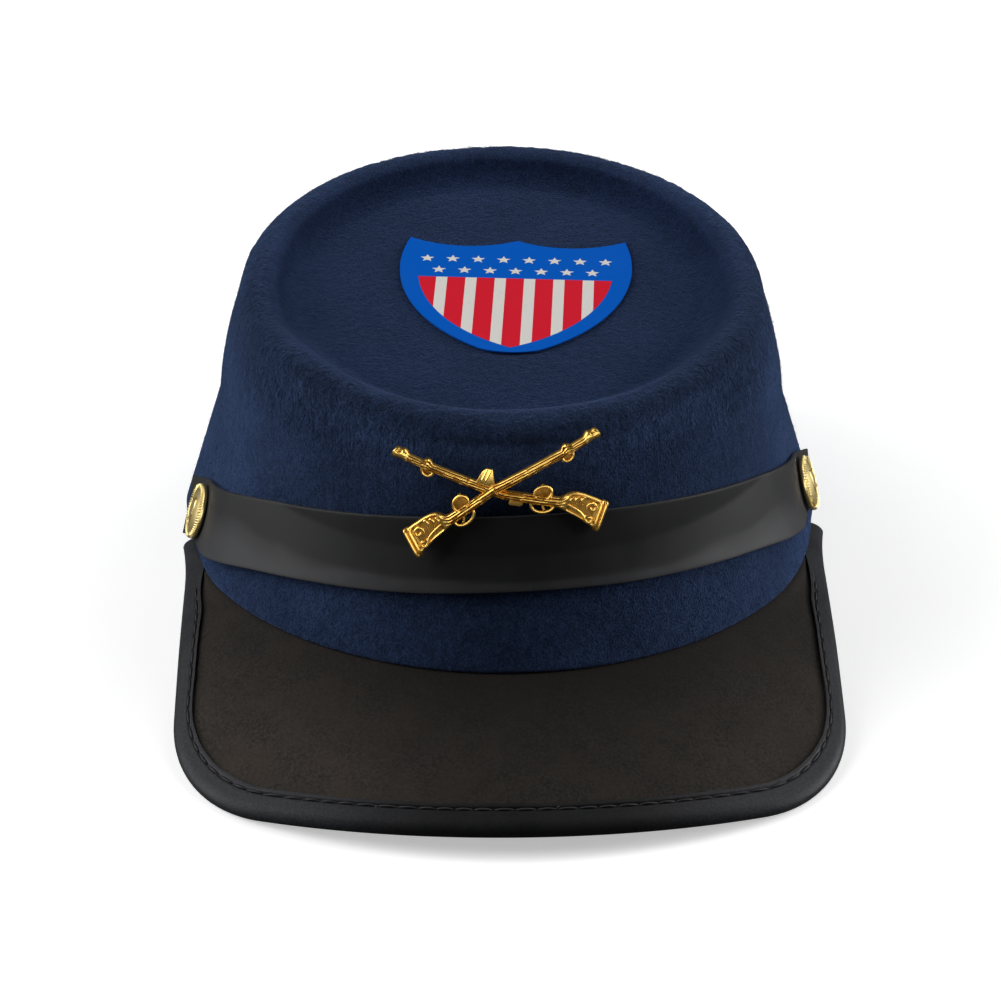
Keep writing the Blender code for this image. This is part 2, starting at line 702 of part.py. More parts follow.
def make_patch(collection, frame):
    curve = bpy.data.curves.new("shield_patch", "CURVE")
    curve.dimensions = "2D"
    curve.fill_mode = "BOTH"
    curve.extrude = PATCH_THICKNESS / 2
    outline = shield_outline()
    spline = curve.splines.new("POLY")
    spline.points.add(len(outline) - 1)
    for point, place in zip(spline.points, outline):
        point.co = (place.x, place.y, 0, 1)
    spline.use_cyclic_u = True
    patch = add_object("shield_patch", curve, collection, frame)
    x, y = PATCH_CENTRE
    lift = GAP + PATCH_THICKNESS / 2
    patch.location = (x, y - lift * math.sin(TOP_TILT), floor_height(y) + lift * math.cos(TOP_TILT))
    patch.rotation_euler = (Matrix.Rotation(TOP_TILT, 3, "X") @ Matrix.Rotation(PATCH_TURN, 3, "Z")).to_euler()
    patch.data.materials.append(material("Printed card", (0.05, 0.15, 0.45), 0.35))
    return patch


# ------------------------------------------------------------------------------------------------ standing


def points_of(piece):
    graph = bpy.context.evaluated_depsgraph_get()
    evaluated = piece.evaluated_get(graph)
    points = [evaluated.matrix_world @ vertex.co for vertex in evaluated.to_mesh().vertices]
    evaluated.to_mesh_clear()
    return points


def lowest(points, turn):
    return min((turn @ point).z for point in points)


def where_it_ends(low, high, holds):
    """The angle between two others at which a test stops holding."""
    for _ in range(30):
        middle = (low + high) / 2
        low, high = (middle, high) if holds(middle) else (low, middle)
    return low


def resting_turn(front_points, back_points):
    """The turn that makes the left and right of the front and the back equally low."""
    left = [point for point in front_points if point.x < 0]
    right = [point for point in front_points if point.x > 0]
    turn = Matrix.Identity(3)
    for _ in range(4):
        tilt = where_it_ends(
            0.0,
            MOST_TILT,
            lambda angle: lowest(front_points, Matrix.Rotation(-angle, 3, "X") @ turn)
            < lowest(back_points, Matrix.Rotation(-angle, 3, "X") @ turn),
        )
        tipped = Matrix.Rotation(-tilt, 3, "X")
        roll = where_it_ends(
            -MOST_TILT,
            MOST_TILT,
            lambda angle: lowest(left, tipped @ Matrix.Rotation(angle, 3, "Y"))
            < lowest(right, tipped @ Matrix.Rotation(angle, 3, "Y")),
        )
        turn = Matrix.Rotation(roll, 3, "Y")
    return tipped @ turn


def stand(frame, pieces, front, back):
    """Tips the cap until it stands on both corners of its front piece and on its back one, over the origin."""
    frame.rotation_euler = resting_turn(points_of(front), points_of(back)).to_euler()
    bpy.context.view_layer.update()
    points = [point for piece in pieces for point in points_of(piece)]
    middles = [(min(values) + max(values)) / 2 for values in zip(*points)]
    bottom = min(point.z for point in points)
    frame.location = (-middles[0], -middles[1], -bottom - PRESS)
    bpy.context.view_layer.update()


def cutting_block(name, collection, parent):
    """A block whose top face lies on its parent's plane z = 0."""
    shape = bmesh.new()
    bmesh.ops.create_cube(shape, size=1.0)
    bmesh.ops.scale(shape, verts=shape.verts, vec=BLOCK_SIZE)
    bmesh.ops.translate(shape, verts=shape.verts, vec=(0, 0, -BLOCK_SIZE[2] / 2))
    mesh = bpy.data.meshes.new(name)
    shape.to_mesh(mesh)
    shape.free()
    block = add_object(name, mesh, collection, parent)
    hide(block)
    return block


def main():
    clear_scene()
    pieces = new_collection("Kepi cap")
    helpers = new_collection("Cutters")
    frame = add_object("cap_at_rest", None, pieces)
    crown = make_crown(pieces, frame)
    boolean(crown, "DIFFERENCE", cutting_block("level_hem", helpers, frame))
    binding = make_binding(pieces, frame)
    others = [
        make_peak(pieces, frame),
        make_strap(pieces, frame),
        *make_buttons(pieces, frame),
        make_badge(pieces, helpers, frame),
        make_patch(pieces, frame),
    ]
    bpy.context.view_layer.update()
    stand(frame, [crown, binding, *others], front=binding, back=crown)
    ground = cutting_block("ground", helpers, None)
    for pressed in (crown, binding):
        boolean(pressed, "DIFFERENCE", ground)


main()
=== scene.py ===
"""Kepi cap, finished: brushed blue felt with a dished top, a brown suede peak in a stitched black tape, a
satin chin strap held by two stamped buttons, a cast badge of crossed rifles and a printed card shield.

Lengths are metres. Each piece is shaped in the cap's own frame, where the hem's oval is centred on the origin
in the plane z = 0 and the front faces -Y, and is then tipped with the cap as it stands. Angles around the cap
start at the front and grow towards +X.
"""

import math
import random

import bmesh
import bpy
from mathutils import Matrix, Vector, noise


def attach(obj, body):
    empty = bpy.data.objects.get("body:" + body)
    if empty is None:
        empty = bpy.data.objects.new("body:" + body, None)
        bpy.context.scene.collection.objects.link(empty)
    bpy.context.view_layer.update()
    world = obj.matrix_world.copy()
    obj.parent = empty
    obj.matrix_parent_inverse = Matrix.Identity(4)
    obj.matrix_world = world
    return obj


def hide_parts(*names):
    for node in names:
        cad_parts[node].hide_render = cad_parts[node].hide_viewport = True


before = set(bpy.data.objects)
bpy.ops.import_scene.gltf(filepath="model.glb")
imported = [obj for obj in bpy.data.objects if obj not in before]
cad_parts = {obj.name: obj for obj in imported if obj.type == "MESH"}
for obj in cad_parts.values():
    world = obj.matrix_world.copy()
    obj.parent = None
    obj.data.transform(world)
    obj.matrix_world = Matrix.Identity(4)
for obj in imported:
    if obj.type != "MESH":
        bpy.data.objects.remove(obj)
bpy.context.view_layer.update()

MM = 0.001

# How the cap stands: tipped back on its hem, rolled a little, and its place on the floor
REST_TIP = math.radians(7.5792)
REST_ROLL = math.radians(0.1650)
REST_PLACE = Vector((0.000274, 0.021387, 0.012262))
REST_TURN = Matrix.Rotation(-REST_TIP, 4, "X") @ Matrix.Rotation(REST_ROLL, 4, "Y")
REST = Matrix.Translation(REST_PLACE) @ REST_TURN

# Crown
HEM_HALF_WIDTH = 0.0905
HEM_HALF_LENGTH = 0.0960
TOP_HALF_WIDTH = 0.0722
TOP_HALF_LENGTH = 0.0784
TOP_FULLNESS = 2.08
TOP_FORWARD = 0.0065
TOP_HEIGHT = 0.0673
TOP_TILT = math.radians(7.4)
WAIST_DEPTH = 0.0017
WAIST_SHARE = 0.54
SWELL = 0.0012
ROLL_RADIUS = 0.0065
ROLL_END = 140
DISH_DEPTH = 0.0060
RIM_LIFT = 0.0020  # the rolled edge is drawn up and back at the front
RIM_SET_BACK = 0.0025
RIM_SPAN = (0.20, 0.60)  # from the cosine of the angle where that starts to where it is whole
RIM_START = 0.78
FELT = 0.0025
PINCHES = (  # the felt is drawn in beside the buttons; places and reaches are degrees
    {"place": -80, "ahead": 20, "behind": 20},
    {"place": 80, "ahead": 30, "behind": 14},
)
HEM_PINCH = 0.0018
STRAP_PINCH = 0.0018
STRAP_PINCH_SHARE = 0.20
STRAP_PINCH_REACH = 0.30
BRIDGE_SHARE = 0.72

# Peak and its binding
PEAK_FRONT = 0.1364
PEAK_FRONT_RADIUS = 0.172
PEAK_CORNER_RADIUS = 0.038
PEAK_HALF_WIDTH = 0.0888
PEAK_PIVOT = 0.0220
PEAK_ENDS = {-1: 0.0190, 1: 0.0125}
PEAK_END_FLARE = 0.0018
PEAK_TURN = math.radians(-2.2)
PEAK_SLOPE = math.radians(30)
PEAK_BEND = 0.0015
BOARD = 0.0020
TAPE = 0.0007
TAPE_REACH = 0.0073
TAPE_END_REACH = 0.0061
GAP = 0.0003
STITCH_BACK = 0.0014  # of the stitch line, from the tape's inner edge

# Strap
STRAP_WIDTH = 0.0213
STRAP_NARROWING = 0.0020
STRAP_NARROWING_SPAN = (math.radians(15), math.radians(60))
STRAP_END_RISE = 0.0020
STRAP_END_RISE_SPAN = (math.radians(68), math.radians(82))
STRAP_TILT = 0.0019
STRAP_THICKNESS = 0.0010
STRAP_GAP = 0.0005
STRAP_HEIGHT = 0.03175
STRAP_CONE = math.radians(15.6)
STRAP_CONE_RADIUS = 0.0828
STRAP_END = math.radians(86)
STRAP_LIFT_START = math.radians(83)
STRAP_LIFT = 0.0008

# Buttons
BUTTON_RADIUS = 0.0079
BUTTON_PLACES = {"button_left": math.radians(-77.5), "button_right": math.radians(79.5)}
BUTTON_RAISED = 0.0012
BUTTON_STAND_OFF = 0.0007

# Badge
BADGE_PLACE = math.radians(-3.3)
BADGE_HEIGHT = 0.0455
BADGE_LEAN = math.radians(10.4)
BADGE_STAND_OFF = 0.0012
BADGE_BEND_RADIUS = 0.095
# Each rifle's muzzle, angle, the side its top faces, its stock's step and drop, and how far it lies out
RIFLES = (
    {"muzzle": (0.0246, 0.0182), "angle": 28.4, "top": 1, "step": -0.0019, "drop": 6.2, "out": 0.0005},
    {"muzzle": (-0.0276, 0.0127), "angle": 160.0, "top": -1, "step": 0.0028, "drop": 2.0, "out": 0.0},
)
STOCK_START = 0.030
STOCK_WRIST = 0.044
# A rifle's outline: distance from the muzzle, and the edges above and below its axis
RIFLE_OUTLINE = (
    # station, above, below
    (0.0000, 0.0013, 0.0011),
    (0.0003, 0.0017, 0.0012),
    (0.0008, 0.0018, 0.0012),
    (0.0014, 0.0017, 0.0010),
    (0.0020, 0.0019, 0.0010),
    (0.0026, 0.0021, 0.0010),
    (0.0033, 0.0018, 0.0010),
    (0.0040, 0.0012, 0.0010),
    (0.0077, 0.0011, 0.0010),
    (0.0083, 0.0018, 0.0011),
    (0.0090, 0.0021, 0.0012),
    (0.0098, 0.0018, 0.0011),
    (0.0104, 0.0012, 0.0011),
    (0.0180, 0.0012, 0.0012),
    (0.0300, 0.0013, 0.0013),
    (0.0365, 0.0013, 0.0014),
    (0.0436, 0.0014, 0.0016),
    (0.0444, 0.0018, 0.0016),
    (0.0451, 0.0027, 0.0017),
    (0.0461, 0.0035, 0.0018),
    (0.0474, 0.0040, 0.0020),
    (0.0494, 0.0042, 0.0023),
    (0.0530, 0.0041, 0.0032),
    (0.0546, 0.0039, 0.0037),
    (0.0549, 0.0042, 0.0042),
    (0.0562, 0.0041, 0.0041),
)

# Shield patch
PATCH_CENTRE = (0.0034, -0.0052)
PATCH_TURN = math.radians(-5.5)
PATCH_THICKNESS = 0.0004
SHIELD_TIP = (0.0302, 0.0280)
SHIELD_CUSP = 0.0272
SHIELD_FOOT = -0.0327
SHIELD_FOOT_CORNER = (0.0077, -0.0313)
SHIELD_SIDE_RADIUS = 0.053
SHIELD_TOP_RADIUS = 0.031
SHIELD_FOOT_RADIUS = 0.022

# The camera, in the cap's frame, and the photograph's side in pixels
PHOTO_SIDE = 1001
CAMERA_DISTANCE = 0.900
CAMERA_RISE = math.radians(26.98)
CAMERA_TURN = math.radians(-3.25)
CAMERA_AIM = Vector((-0.00009, 0.0, 0.00121))
FOCAL_PIXELS = 3148.56
SENSOR = 36.0


def smooth_share(value, start, end):
    """0 up to start and 1 from end on, with an even ease between."""
    share = min(max((value - start) / (end - start), 0.0), 1.0)
    return share * share * (3 - 2 * share)


def bump_at(value, middle, half_width):
    """1 at the middle, easing to 0 at the half width on both sides."""
    return 1 - smooth_share(abs(value - middle), 0.0, half_width)


def table_at(table, value, ease=lambda share: share):
    """The rest of a table's row at a value of its first column, worked out between two rows."""
    for low, high in zip(table, table[1:]):
        if low[0] <= value <= high[0]:
            share = ease((value - low[0]) / (high[0] - low[0]))
            return [first + (second - first) * share for first, second in zip(low[1:], high[1:])]
    return table[0][1:] if value < table[0][0] else table[-1][1:]


# --- crown surface


def outward(angle):
    normal = Vector((math.sin(angle) / HEM_HALF_WIDTH, -math.cos(angle) / HEM_HALF_LENGTH, 0))
    return normal.normalized()


def pinch_share(angle):
    """How far the felt is drawn in at an angle, and how far the strap spans the hollow that this leaves."""
    for pinch in PINCHES:
        behind = (math.degrees(angle) - pinch["place"]) * math.copysign(1, pinch["place"])
        away = behind / pinch["behind"] if behind > 0 else -behind / pinch["ahead"]
        if away < 1:
            share = math.cos(away * math.pi / 2) ** 2
            bridge = share - max(1 - away / BRIDGE_SHARE, 0) if behind < 0 else 0.0
            return share, bridge
    return 0.0, 0.0


def pinch_depth(share):
    level = min(abs(share - STRAP_PINCH_SHARE) / STRAP_PINCH_REACH, 1.0)
    return HEM_PINCH * (1 - share) + STRAP_PINCH * math.cos(level * math.pi / 2) ** 2


def hem_oval(angle):
    return Vector((HEM_HALF_WIDTH * math.sin(angle), -HEM_HALF_LENGTH * math.cos(angle), 0))


def hem_point(angle):
    return hem_oval(angle) - outward(angle) * pinch_depth(0) * pinch_share(angle)[0]


def fuller(value):
    return math.copysign(abs(value) ** (2 / TOP_FULLNESS), value)


def shoulder_point(angle):
    forward = TOP_HALF_LENGTH * fuller(math.cos(angle))
    height = TOP_HEIGHT - forward * math.tan(TOP_TILT)
    return Vector((TOP_HALF_WIDTH * fuller(math.sin(angle)), -TOP_FORWARD - forward, height))


def rim_shift(angle):
    return Vector((0, RIM_SET_BACK, RIM_LIFT)) * smooth_share(math.cos(angle), *RIM_SPAN)


def wall_point(angle, share, proud=0.0):
    if share < WAIST_SHARE:
        swell = -WAIST_DEPTH * share / WAIST_SHARE
    else:
        above = (share - WAIST_SHARE) / (1 - WAIST_SHARE)
        swell = SWELL * math.sin(math.pi * above) - WAIST_DEPTH * (1 - above)
    swell -= pinch_depth(share) * pinch_share(angle)[0]
    drawn = rim_shift(angle) * smooth_share(share, RIM_START, 1.0)
    return hem_oval(angle).lerp(shoulder_point(angle), share) + outward(angle) * (swell + proud) + drawn


def wall_at_height(angle, height, proud=0.0):
    return wall_point(angle, height / shoulder_point(angle).z, proud)


def floor_height(y):
    middle = TOP_HEIGHT + (ROLL_RADIUS - DISH_DEPTH) / math.cos(TOP_TILT)
    return middle + (y + TOP_FORWARD) * math.tan(TOP_TILT)


def roll_point(angle, degrees, radius):
    """A point of the rolled edge at a radius about the roll's middle, from the shoulder over the crest."""
    turn = math.radians(degrees)
    lift = Vector((0, -math.sin(TOP_TILT), math.cos(TOP_TILT)))
    centre = shoulder_point(angle) + rim_shift(angle) - outward(angle) * ROLL_RADIUS
    return centre + (outward(angle) * math.cos(turn) + lift * math.sin(turn)) * radius


ROLL_INSET = -ROLL_RADIUS * math.cos(math.radians(ROLL_END))
ROLL_RISE = 1 - ROLL_RADIUS * (1 - math.sin(math.radians(ROLL_END))) / DISH_DEPTH
CORNER_SLOPE = ROLL_END - 90
CORNER_RADIUS = ROLL_RISE * DISH_DEPTH / (1 - math.cos(math.radians(CORNER_SLOPE)))


def corner_point(angle, degrees, depth):
    """A point of the hollow corner between the roll and the dish's floor, a depth below the felt's face."""
    slope = math.radians(degrees)
    crest = roll_point(angle, 90, ROLL_RADIUS)
    inset = ROLL_INSET + CORNER_RADIUS * (math.sin(math.radians(CORNER_SLOPE)) - math.sin(slope))
    rise = CORNER_RADIUS * (1 - math.cos(slope)) / DISH_DEPTH
    place = crest - outward(angle) * (inset - depth * math.sin(slope))
    place.z = floor_height(place.y) + (crest.z - floor_height(crest.y)) * rise - depth * math.cos(slope)
    return place


def felt_point(angle, part, value, depth):
    """A point of the crown, in one part of its profile, a depth below the felt's face."""
    if part == "wall":
        return wall_point(angle, value, -depth)
    if part == "roll":
        return roll_point(angle, value, ROLL_RADIUS - depth)
    if part == "corner":
        return corner_point(angle, value, depth)
    middle = Vector((0, -TOP_FORWARD, floor_height(-TOP_FORWARD) - depth))
    return corner_point(angle, 0, depth).lerp(middle, value)


def felt_profile(wall, roll, corner, floor):
    """The parts and values of the profile's rows, from the hem over the roll and in to the middle."""
    rows = [("wall", i / wall) for i in range(wall + 1)]
    rows += [("roll", ROLL_END * (i + 1) / roll) for i in range(roll)]
    rows += [("corner", CORNER_SLOPE * (1 - (i + 1) / corner)) for i in range(corner)]
    rows += [("floor", (i + 1) / floor) for i in range(floor)]
    return rows


# --- building pieces

MERGE = 0.002 * MM  # vertices nearer than this are one


def grid_sheet(shape, columns, rows, place):
    """A grid whose corners and crossings are moved to place(column, row). Returns its vertices."""
    made = bmesh.ops.create_grid(shape, x_segments=columns, y_segments=rows, size=1.0, calc_uvs=True)["verts"]
    for vertex in made:
        column = round((vertex.co.x + 1) / 2 * columns)
        row = round((vertex.co.y + 1) / 2 * rows)
        vertex.co = place(column, row)
    return made


def new_shape(*layers):
    """An empty shape with a UV map, and a number at each vertex for every named layer."""
    shape = bmesh.new()
    shape.loops.layers.uv.new("Lay")
    for name in layers:
        shape.verts.layers.float.new(name)
    return shape


def paint(shape, layer, vertices, value):
    """Sets a layer's number at some vertices."""
    layer = shape.verts.layers.float[layer]
    for vertex in vertices:
        vertex[layer] = value


def weld(shape, vertices):
    """Joins vertices that lie on each other and returns those that are left."""
    bmesh.ops.remove_doubles(shape, verts=vertices, dist=MERGE)
    return [vertex for vertex in vertices if vertex.is_valid]


def edges_at(vertices):
    """The edges that meet at some vertices, each of them once."""
    return list(dict.fromkeys(edge for vertex in vertices for edge in vertex.link_edges))


def fill_holes(shape, vertices):
    edges = [edge for edge in edges_at(vertices) if edge.is_boundary]
    if edges:
        bmesh.ops.holes_fill(shape, edges=edges)


def join_into(whole, piece):
    """Adds a shape to another one and lets it go."""
    carried = bpy.data.meshes.new("carried")
    piece.to_mesh(carried)
    piece.free()
    whole.from_mesh(carried)
    bpy.data.meshes.remove(carried)


def section_piece(sections, *layers):
    """A closed form through closed sections with the same number of points, its two ends filled."""
    count = len(sections[0])
    shape = new_shape(*layers)
    grid_sheet(shape, len(sections) - 1, count, lambda column, row: sections[column][row % count])
    weld(shape, shape.verts)
    bmesh.ops.dissolve_degenerate(shape, edges=shape.edges, dist=MERGE / 4)
    fill_holes(shape, shape.verts)
    return shape


def tube(shape, path, radius, sides=8, looped=False):
    """A closed tube along points; radius is a number or a function of the share of its length."""
    count = len(path)
    size = radius if callable(radius) else lambda share: radius
    frames = []
    normal = None
    for i, point in enumerate(path):
        ahead = path[(i + 1) % count] if looped else path[min(i + 1, count - 1)]
        behind = path[(i - 1) % count] if looped else path[max(i - 1, 0)]
        along = (Vector(ahead) - Vector(behind)).normalized()
        if normal is None:
            normal = along.orthogonal().normalized()
        normal = (normal - along * normal.dot(along)).normalized()
        frames.append((Vector(point), normal.copy(), along.cross(normal)))

    def place(column, row):
        middle, first, second = frames[column % count]
        turn = 2 * math.pi * row / sides
        share = column / max(count - 1, 1)
        return middle + (first * math.cos(turn) + second * math.sin(turn)) * size(share)

    made = weld(shape, grid_sheet(shape, count if looped else count - 1, sides, place))
    fill_holes(shape, made)
    return made


def swelling(ends, more, power=1.0):
    """A tube's radius, in millimetres at its ends and with so much more in the middle of its length."""
    return lambda share: (ends + more * math.sin(math.pi * share) ** power) * MM


def facing(place, right, out):
    """Moves to a place and turns so that X goes right and Z goes out."""
    return Matrix.Translation(place) @ Matrix((right, out.cross(right), out)).transposed().to_4x4()


def put_in_scene(name, data):
    data.name = name
    made = bpy.data.objects.new(name, data)
    bpy.context.scene.collection.objects.link(made)
    return made


def to_mesh(shape, place=REST, on_floor=False):
    """Turns a shape into a mesh at its place, pressed flat where it would go below the floor."""
    bmesh.ops.recalc_face_normals(shape, faces=shape.faces)
    bmesh.ops.transform(shape, matrix=place, verts=shape.verts)
    mesh = bpy.data.meshes.new("piece")
    shape.to_mesh(mesh)
    shape.free()
    if on_floor:
        for vertex in mesh.vertices:
            vertex.co.z = max(vertex.co.z, 0.0)
    return mesh


def add_piece(name, mesh, material, slot, node=None, sharp=None):
    """Puts a finished mesh in the scene, on the cap's one body, in place of a plain node if one is named."""
    piece = put_in_scene(name, mesh)
    mesh.materials.append(material)
    mesh.shade_smooth()
    if sharp is not None:
        mesh.set_sharp_from_angle(angle=math.radians(sharp))
    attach(piece, "root")
    if node:
        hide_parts(node)
    return piece


# --- materials


def connect(made, socket, value):
    """Feeds a node's input with another node's output, or sets it to a number or a colour."""
    if isinstance(value, bpy.types.NodeSocket):
        made.id_data.links.new(value, socket)
    elif socket.type == "RGBA":
        socket.default_value = (*value, 1)
    else:
        socket.default_value = value


def fill(made, **named):
    """Connects or sets a node's inputs by their names."""
    for key, value in named.items():
        connect(made, made.inputs[key.replace("_", " ")], value)


def node(tree, kind, *values, settings=None, **named):
    """Adds a shader node, with values for its first inputs and for those that are named."""
    made = tree.nodes.new(f"ShaderNode{kind}")
    for key, value in (settings or {}).items():
        setattr(made, key, value)
    for socket, value in zip(made.inputs, values):
        if value is not None:
            connect(made, socket, value)
    fill(made, **named)
    return made


def math_node(tree, operation, *values, clamp=False):
    return node(tree, "Math", *values, settings={"operation": operation, "use_clamp": clamp}).outputs[0]


def mix_colour(tree, factor, first, second, blend="MIX"):
    made = node(tree, "Mix", factor, settings={"data_type": "RGBA", "blend_type": blend})
    connect(made, made.inputs[6], first)
    connect(made, made.inputs[7], second)
    return made.outputs[2]


def scaled(tree, colour, share):
    return node(tree, "VectorMath", colour, settings={"operation": "SCALE"}, Scale=share).outputs[0]


def remap(tree, value, given, wanted=(0.0, 1.0)):
    """Eases a value from one range into another."""
    eased = {"interpolation_type": "SMOOTHSTEP"}
    return node(tree, "MapRange", value, *given, *wanted, settings=eased).outputs[0]


def cloud(tree, vector, scale, detail=2.0, roughness=0.5, distortion=0.0):
    named = {"Scale": scale, "Detail": detail, "Roughness": roughness, "Distortion": distortion}
    return node(tree, "TexNoise", Vector=vector, **named).outputs["Fac"]


def attribute(tree, name):
    return node(tree, "Attribute", settings={"attribute_name": name}).outputs["Fac"]


def object_vector(tree):
    return node(tree, "TexCoord").outputs["Object"]


def lay_map(tree):
    return node(tree, "UVMap", settings={"uv_map": "Lay"}).outputs[0]


def bump(tree, shader, height, distance, strength, **under):
    """Roughens a shader's surface, on top of another bump where one is given. Returns the new normal."""
    normal = node(tree, "Bump", Height=height, Distance=distance, Strength=strength, **under).outputs[0]
    fill(shader, Normal=normal)
    return normal


def new_group(name, outputs, **numbers):
    """A node group with a vector and some numbers as inputs, and numbers as outputs."""
    tree = bpy.data.node_groups.new(name, "ShaderNodeTree")
    tree.interface.new_socket("Vector", in_out="INPUT", socket_type="NodeSocketVector")
    for label, value in numbers.items():
        tree.interface.new_socket(label, in_out="INPUT", socket_type="NodeSocketFloat").default_value = value
    for label in outputs:
        tree.interface.new_socket(label, in_out="OUTPUT", socket_type="NodeSocketFloat")
    return tree, tree.nodes.new("NodeGroupInput").outputs, tree.nodes.new("NodeGroupOutput")


def place_group(tree, group, **named):
    made = tree.nodes.new("ShaderNodeGroup")
    made.node_tree = group
    fill(made, **named)
    return made.outputs


def nap_group():
    """Short brushed fibres and a soft mottle, as masks and as a height."""
    tree, given, gives = new_group("Brushed nap", ("Fibres", "Clumps", "Height"), Grain=1500.0, Mottle=160.0)
    fibres = remap(tree, cloud(tree, given["Vector"], given["Grain"], 3.0, 0.62, 0.35), (0.34, 0.68))
    clumps = remap(tree, cloud(tree, given["Vector"], given["Mottle"], 4.0, 0.60, 0.6), (0.33, 0.67))
    height = math_node(tree, "MULTIPLY_ADD", clumps, 0.5, math_node(tree, "MULTIPLY", fibres, 0.5))
    fill(gives, Fibres=fibres, Clumps=clumps, Height=height)
    return tree


def lint_group():
    """Sparse specks of pale lint: a mask of tiny dots."""
    tree, given, gives = new_group("Lint specks", ("Specks",), Spacing=0.012, Size=0.00025)
    scale = math_node(tree, "DIVIDE", 1.0, given["Spacing"])
    cells = node(tree, "TexVoronoi", Vector=given["Vector"], Scale=scale, Randomness=1.0)
    distance = math_node(tree, "MULTIPLY", cells.outputs["Distance"], given["Spacing"])
    limit = math_node(tree, "MULTIPLY", given["Size"], cells.outputs["Color"])
    fill(gives, Specks=math_node(tree, "LESS_THAN", distance, limit))
    return tree


def tarnish_group():
    """Dirt and dull metal that gathers in the hollows, read from the piece's own recess attribute."""
    tree, given, gives = new_group("Hollow tarnish", ("Dull", "Grit"), Recess=0.0, Patches=900.0)
    uneven = remap(tree, cloud(tree, given["Vector"], given["Patches"], 4.0, 0.6), (0.3, 0.7), (-0.08, 0.08))
    dull = math_node(tree, "ADD", given["Recess"], uneven, clamp=True)
    fill(gives, Dull=dull, Grit=cloud(tree, given["Vector"], 9000.0, 2.0, 0.6))
    return tree


def new_material(name):
    material = bpy.data.materials.new(name)
    material.use_nodes = True
    tree = material.node_tree
    return material, tree, tree.nodes["Principled BSDF"]


def with_lint(tree, lint, vector, base, spacing, size, colour):
    specks = place_group(tree, lint, Vector=vector, Spacing=spacing, Size=size)
    return mix_colour(tree, specks[0], base, colour)


TUFT_RADIUS = 0.078


def tuft_vector(tree):
    """Round the crown and along its profile, drawn out along the profile, so that tufts lie down the wall."""
    lay = node(tree, "SeparateXYZ", lay_map(tree)).outputs
    turn = math_node(tree, "MULTIPLY", lay[0], 2 * math.pi)
    x = math_node(tree, "MULTIPLY", math_node(tree, "SINE", turn), TUFT_RADIUS)
    y = math_node(tree, "MULTIPLY", math_node(tree, "COSINE", turn), TUFT_RADIUS)
    return node(tree, "CombineXYZ", x, y, math_node(tree, "MULTIPLY", lay[1], TUFT_RADIUS)).outputs[0]


FELT_DARK, FELT_PALE = (0.0062, 0.0135, 0.0400), (0.0180, 0.0345, 0.0900)
# The walls' tint paints light onto the felt and the top's tint paints shade onto it.
WALL_PAINTED_LIGHT, TOP_PAINTED_SHADE = (1.88, 1.66, 1.42), (0.77, 0.75, 0.76)


def felt_material(nap, lint):
    material, tree, shader = new_material("Brushed blue felt")
    vector = object_vector(tree)
    upright = {"Rotation": (REST_TIP, 0.0, 0.0)}
    down_wall = node(tree, "Mapping", vector, **upright, Scale=(1.0, 1.0, 0.72)).outputs[0]
    level = node(tree, "Mapping", vector, **upright, Scale=(1.0, 1.0, 1.0)).outputs[0]
    wall = place_group(tree, nap, Vector=down_wall, Grain=2300.0, Mottle=440.0)
    top = place_group(tree, nap, Vector=level, Grain=2300.0, Mottle=460.0)
    on_top = attribute(tree, "top_share")
    fibres, clumps, height = [node(tree, "Mix", on_top, None, wall[i], top[i]).outputs[0] for i in range(3)]
    shade = mix_colour(tree, fibres, FELT_DARK, FELT_PALE)
    darker = mix_colour(tree, 1.0, shade, (0.72, 0.72, 0.72), "MULTIPLY")
    mottled = mix_colour(tree, clumps, darker, shade)
    # Painted light on the walls and painted shade on the top, chosen by top_share.
    lit_and_shaded = mix_colour(tree, 1.0, mottled, mix_colour(tree, on_top, WALL_PAINTED_LIGHT, TOP_PAINTED_SHADE), "MULTIPLY")
    tufts = remap(tree, cloud(tree, tuft_vector(tree), 560.0, 4.0, 0.62, 1.1), (0.36, 0.64))
    ridge = attribute(tree, "ridge_share")
    # Painted shade in the parted felt between the crest's tufts.
    shade_between_tufts = math_node(tree, "MULTIPLY", ridge, math_node(tree, "SUBTRACT", 1.0, tufts))
    # Painted light: the felt is made paler under the front of the rolled edge and on the left and right
    # walls.
    pale = math_node(tree, "ADD", attribute(tree, "painted_light_share"), 1.10)
    patches = remap(tree, cloud(tree, vector, 38.0, 3.0, 0.55), (0.3, 0.7), (0.86, 1.14))
    light = math_node(tree, "MULTIPLY", patches, math_node(tree, "MULTIPLY_ADD", shade_between_tufts, -0.28, pale))
    colour = with_lint(tree, lint, vector, scaled(tree, lit_and_shaded, light), 0.016, 0.34 * MM, (0.16, 0.18, 0.22))
    grained = bump(tree, shader, height, 0.34 * MM, 0.80)
    bump(tree, shader, math_node(tree, "MULTIPLY", ridge, tufts), 0.8 * MM, 0.8, Normal=grained)
    fill(shader, Base_Color=colour, Roughness=0.95, Specular_IOR_Level=0.05)
    fill(shader, Sheen_Weight=0.31, Sheen_Roughness=0.32, Sheen_Tint=(0.32, 0.50, 1.0))
    return material


def strand_material():
    """Loose felt fibres, each with a tone of its own."""
    material, tree, shader = new_material("Felt fibres")
    colour = mix_colour(tree, attribute(tree, "tone"), (0.018, 0.030, 0.068), (0.060, 0.090, 0.170))
    fill(shader, Base_Color=colour, Roughness=0.9, Specular_IOR_Level=0.06)
    fill(shader, Sheen_Weight=0.05, Sheen_Roughness=0.5)
    return material


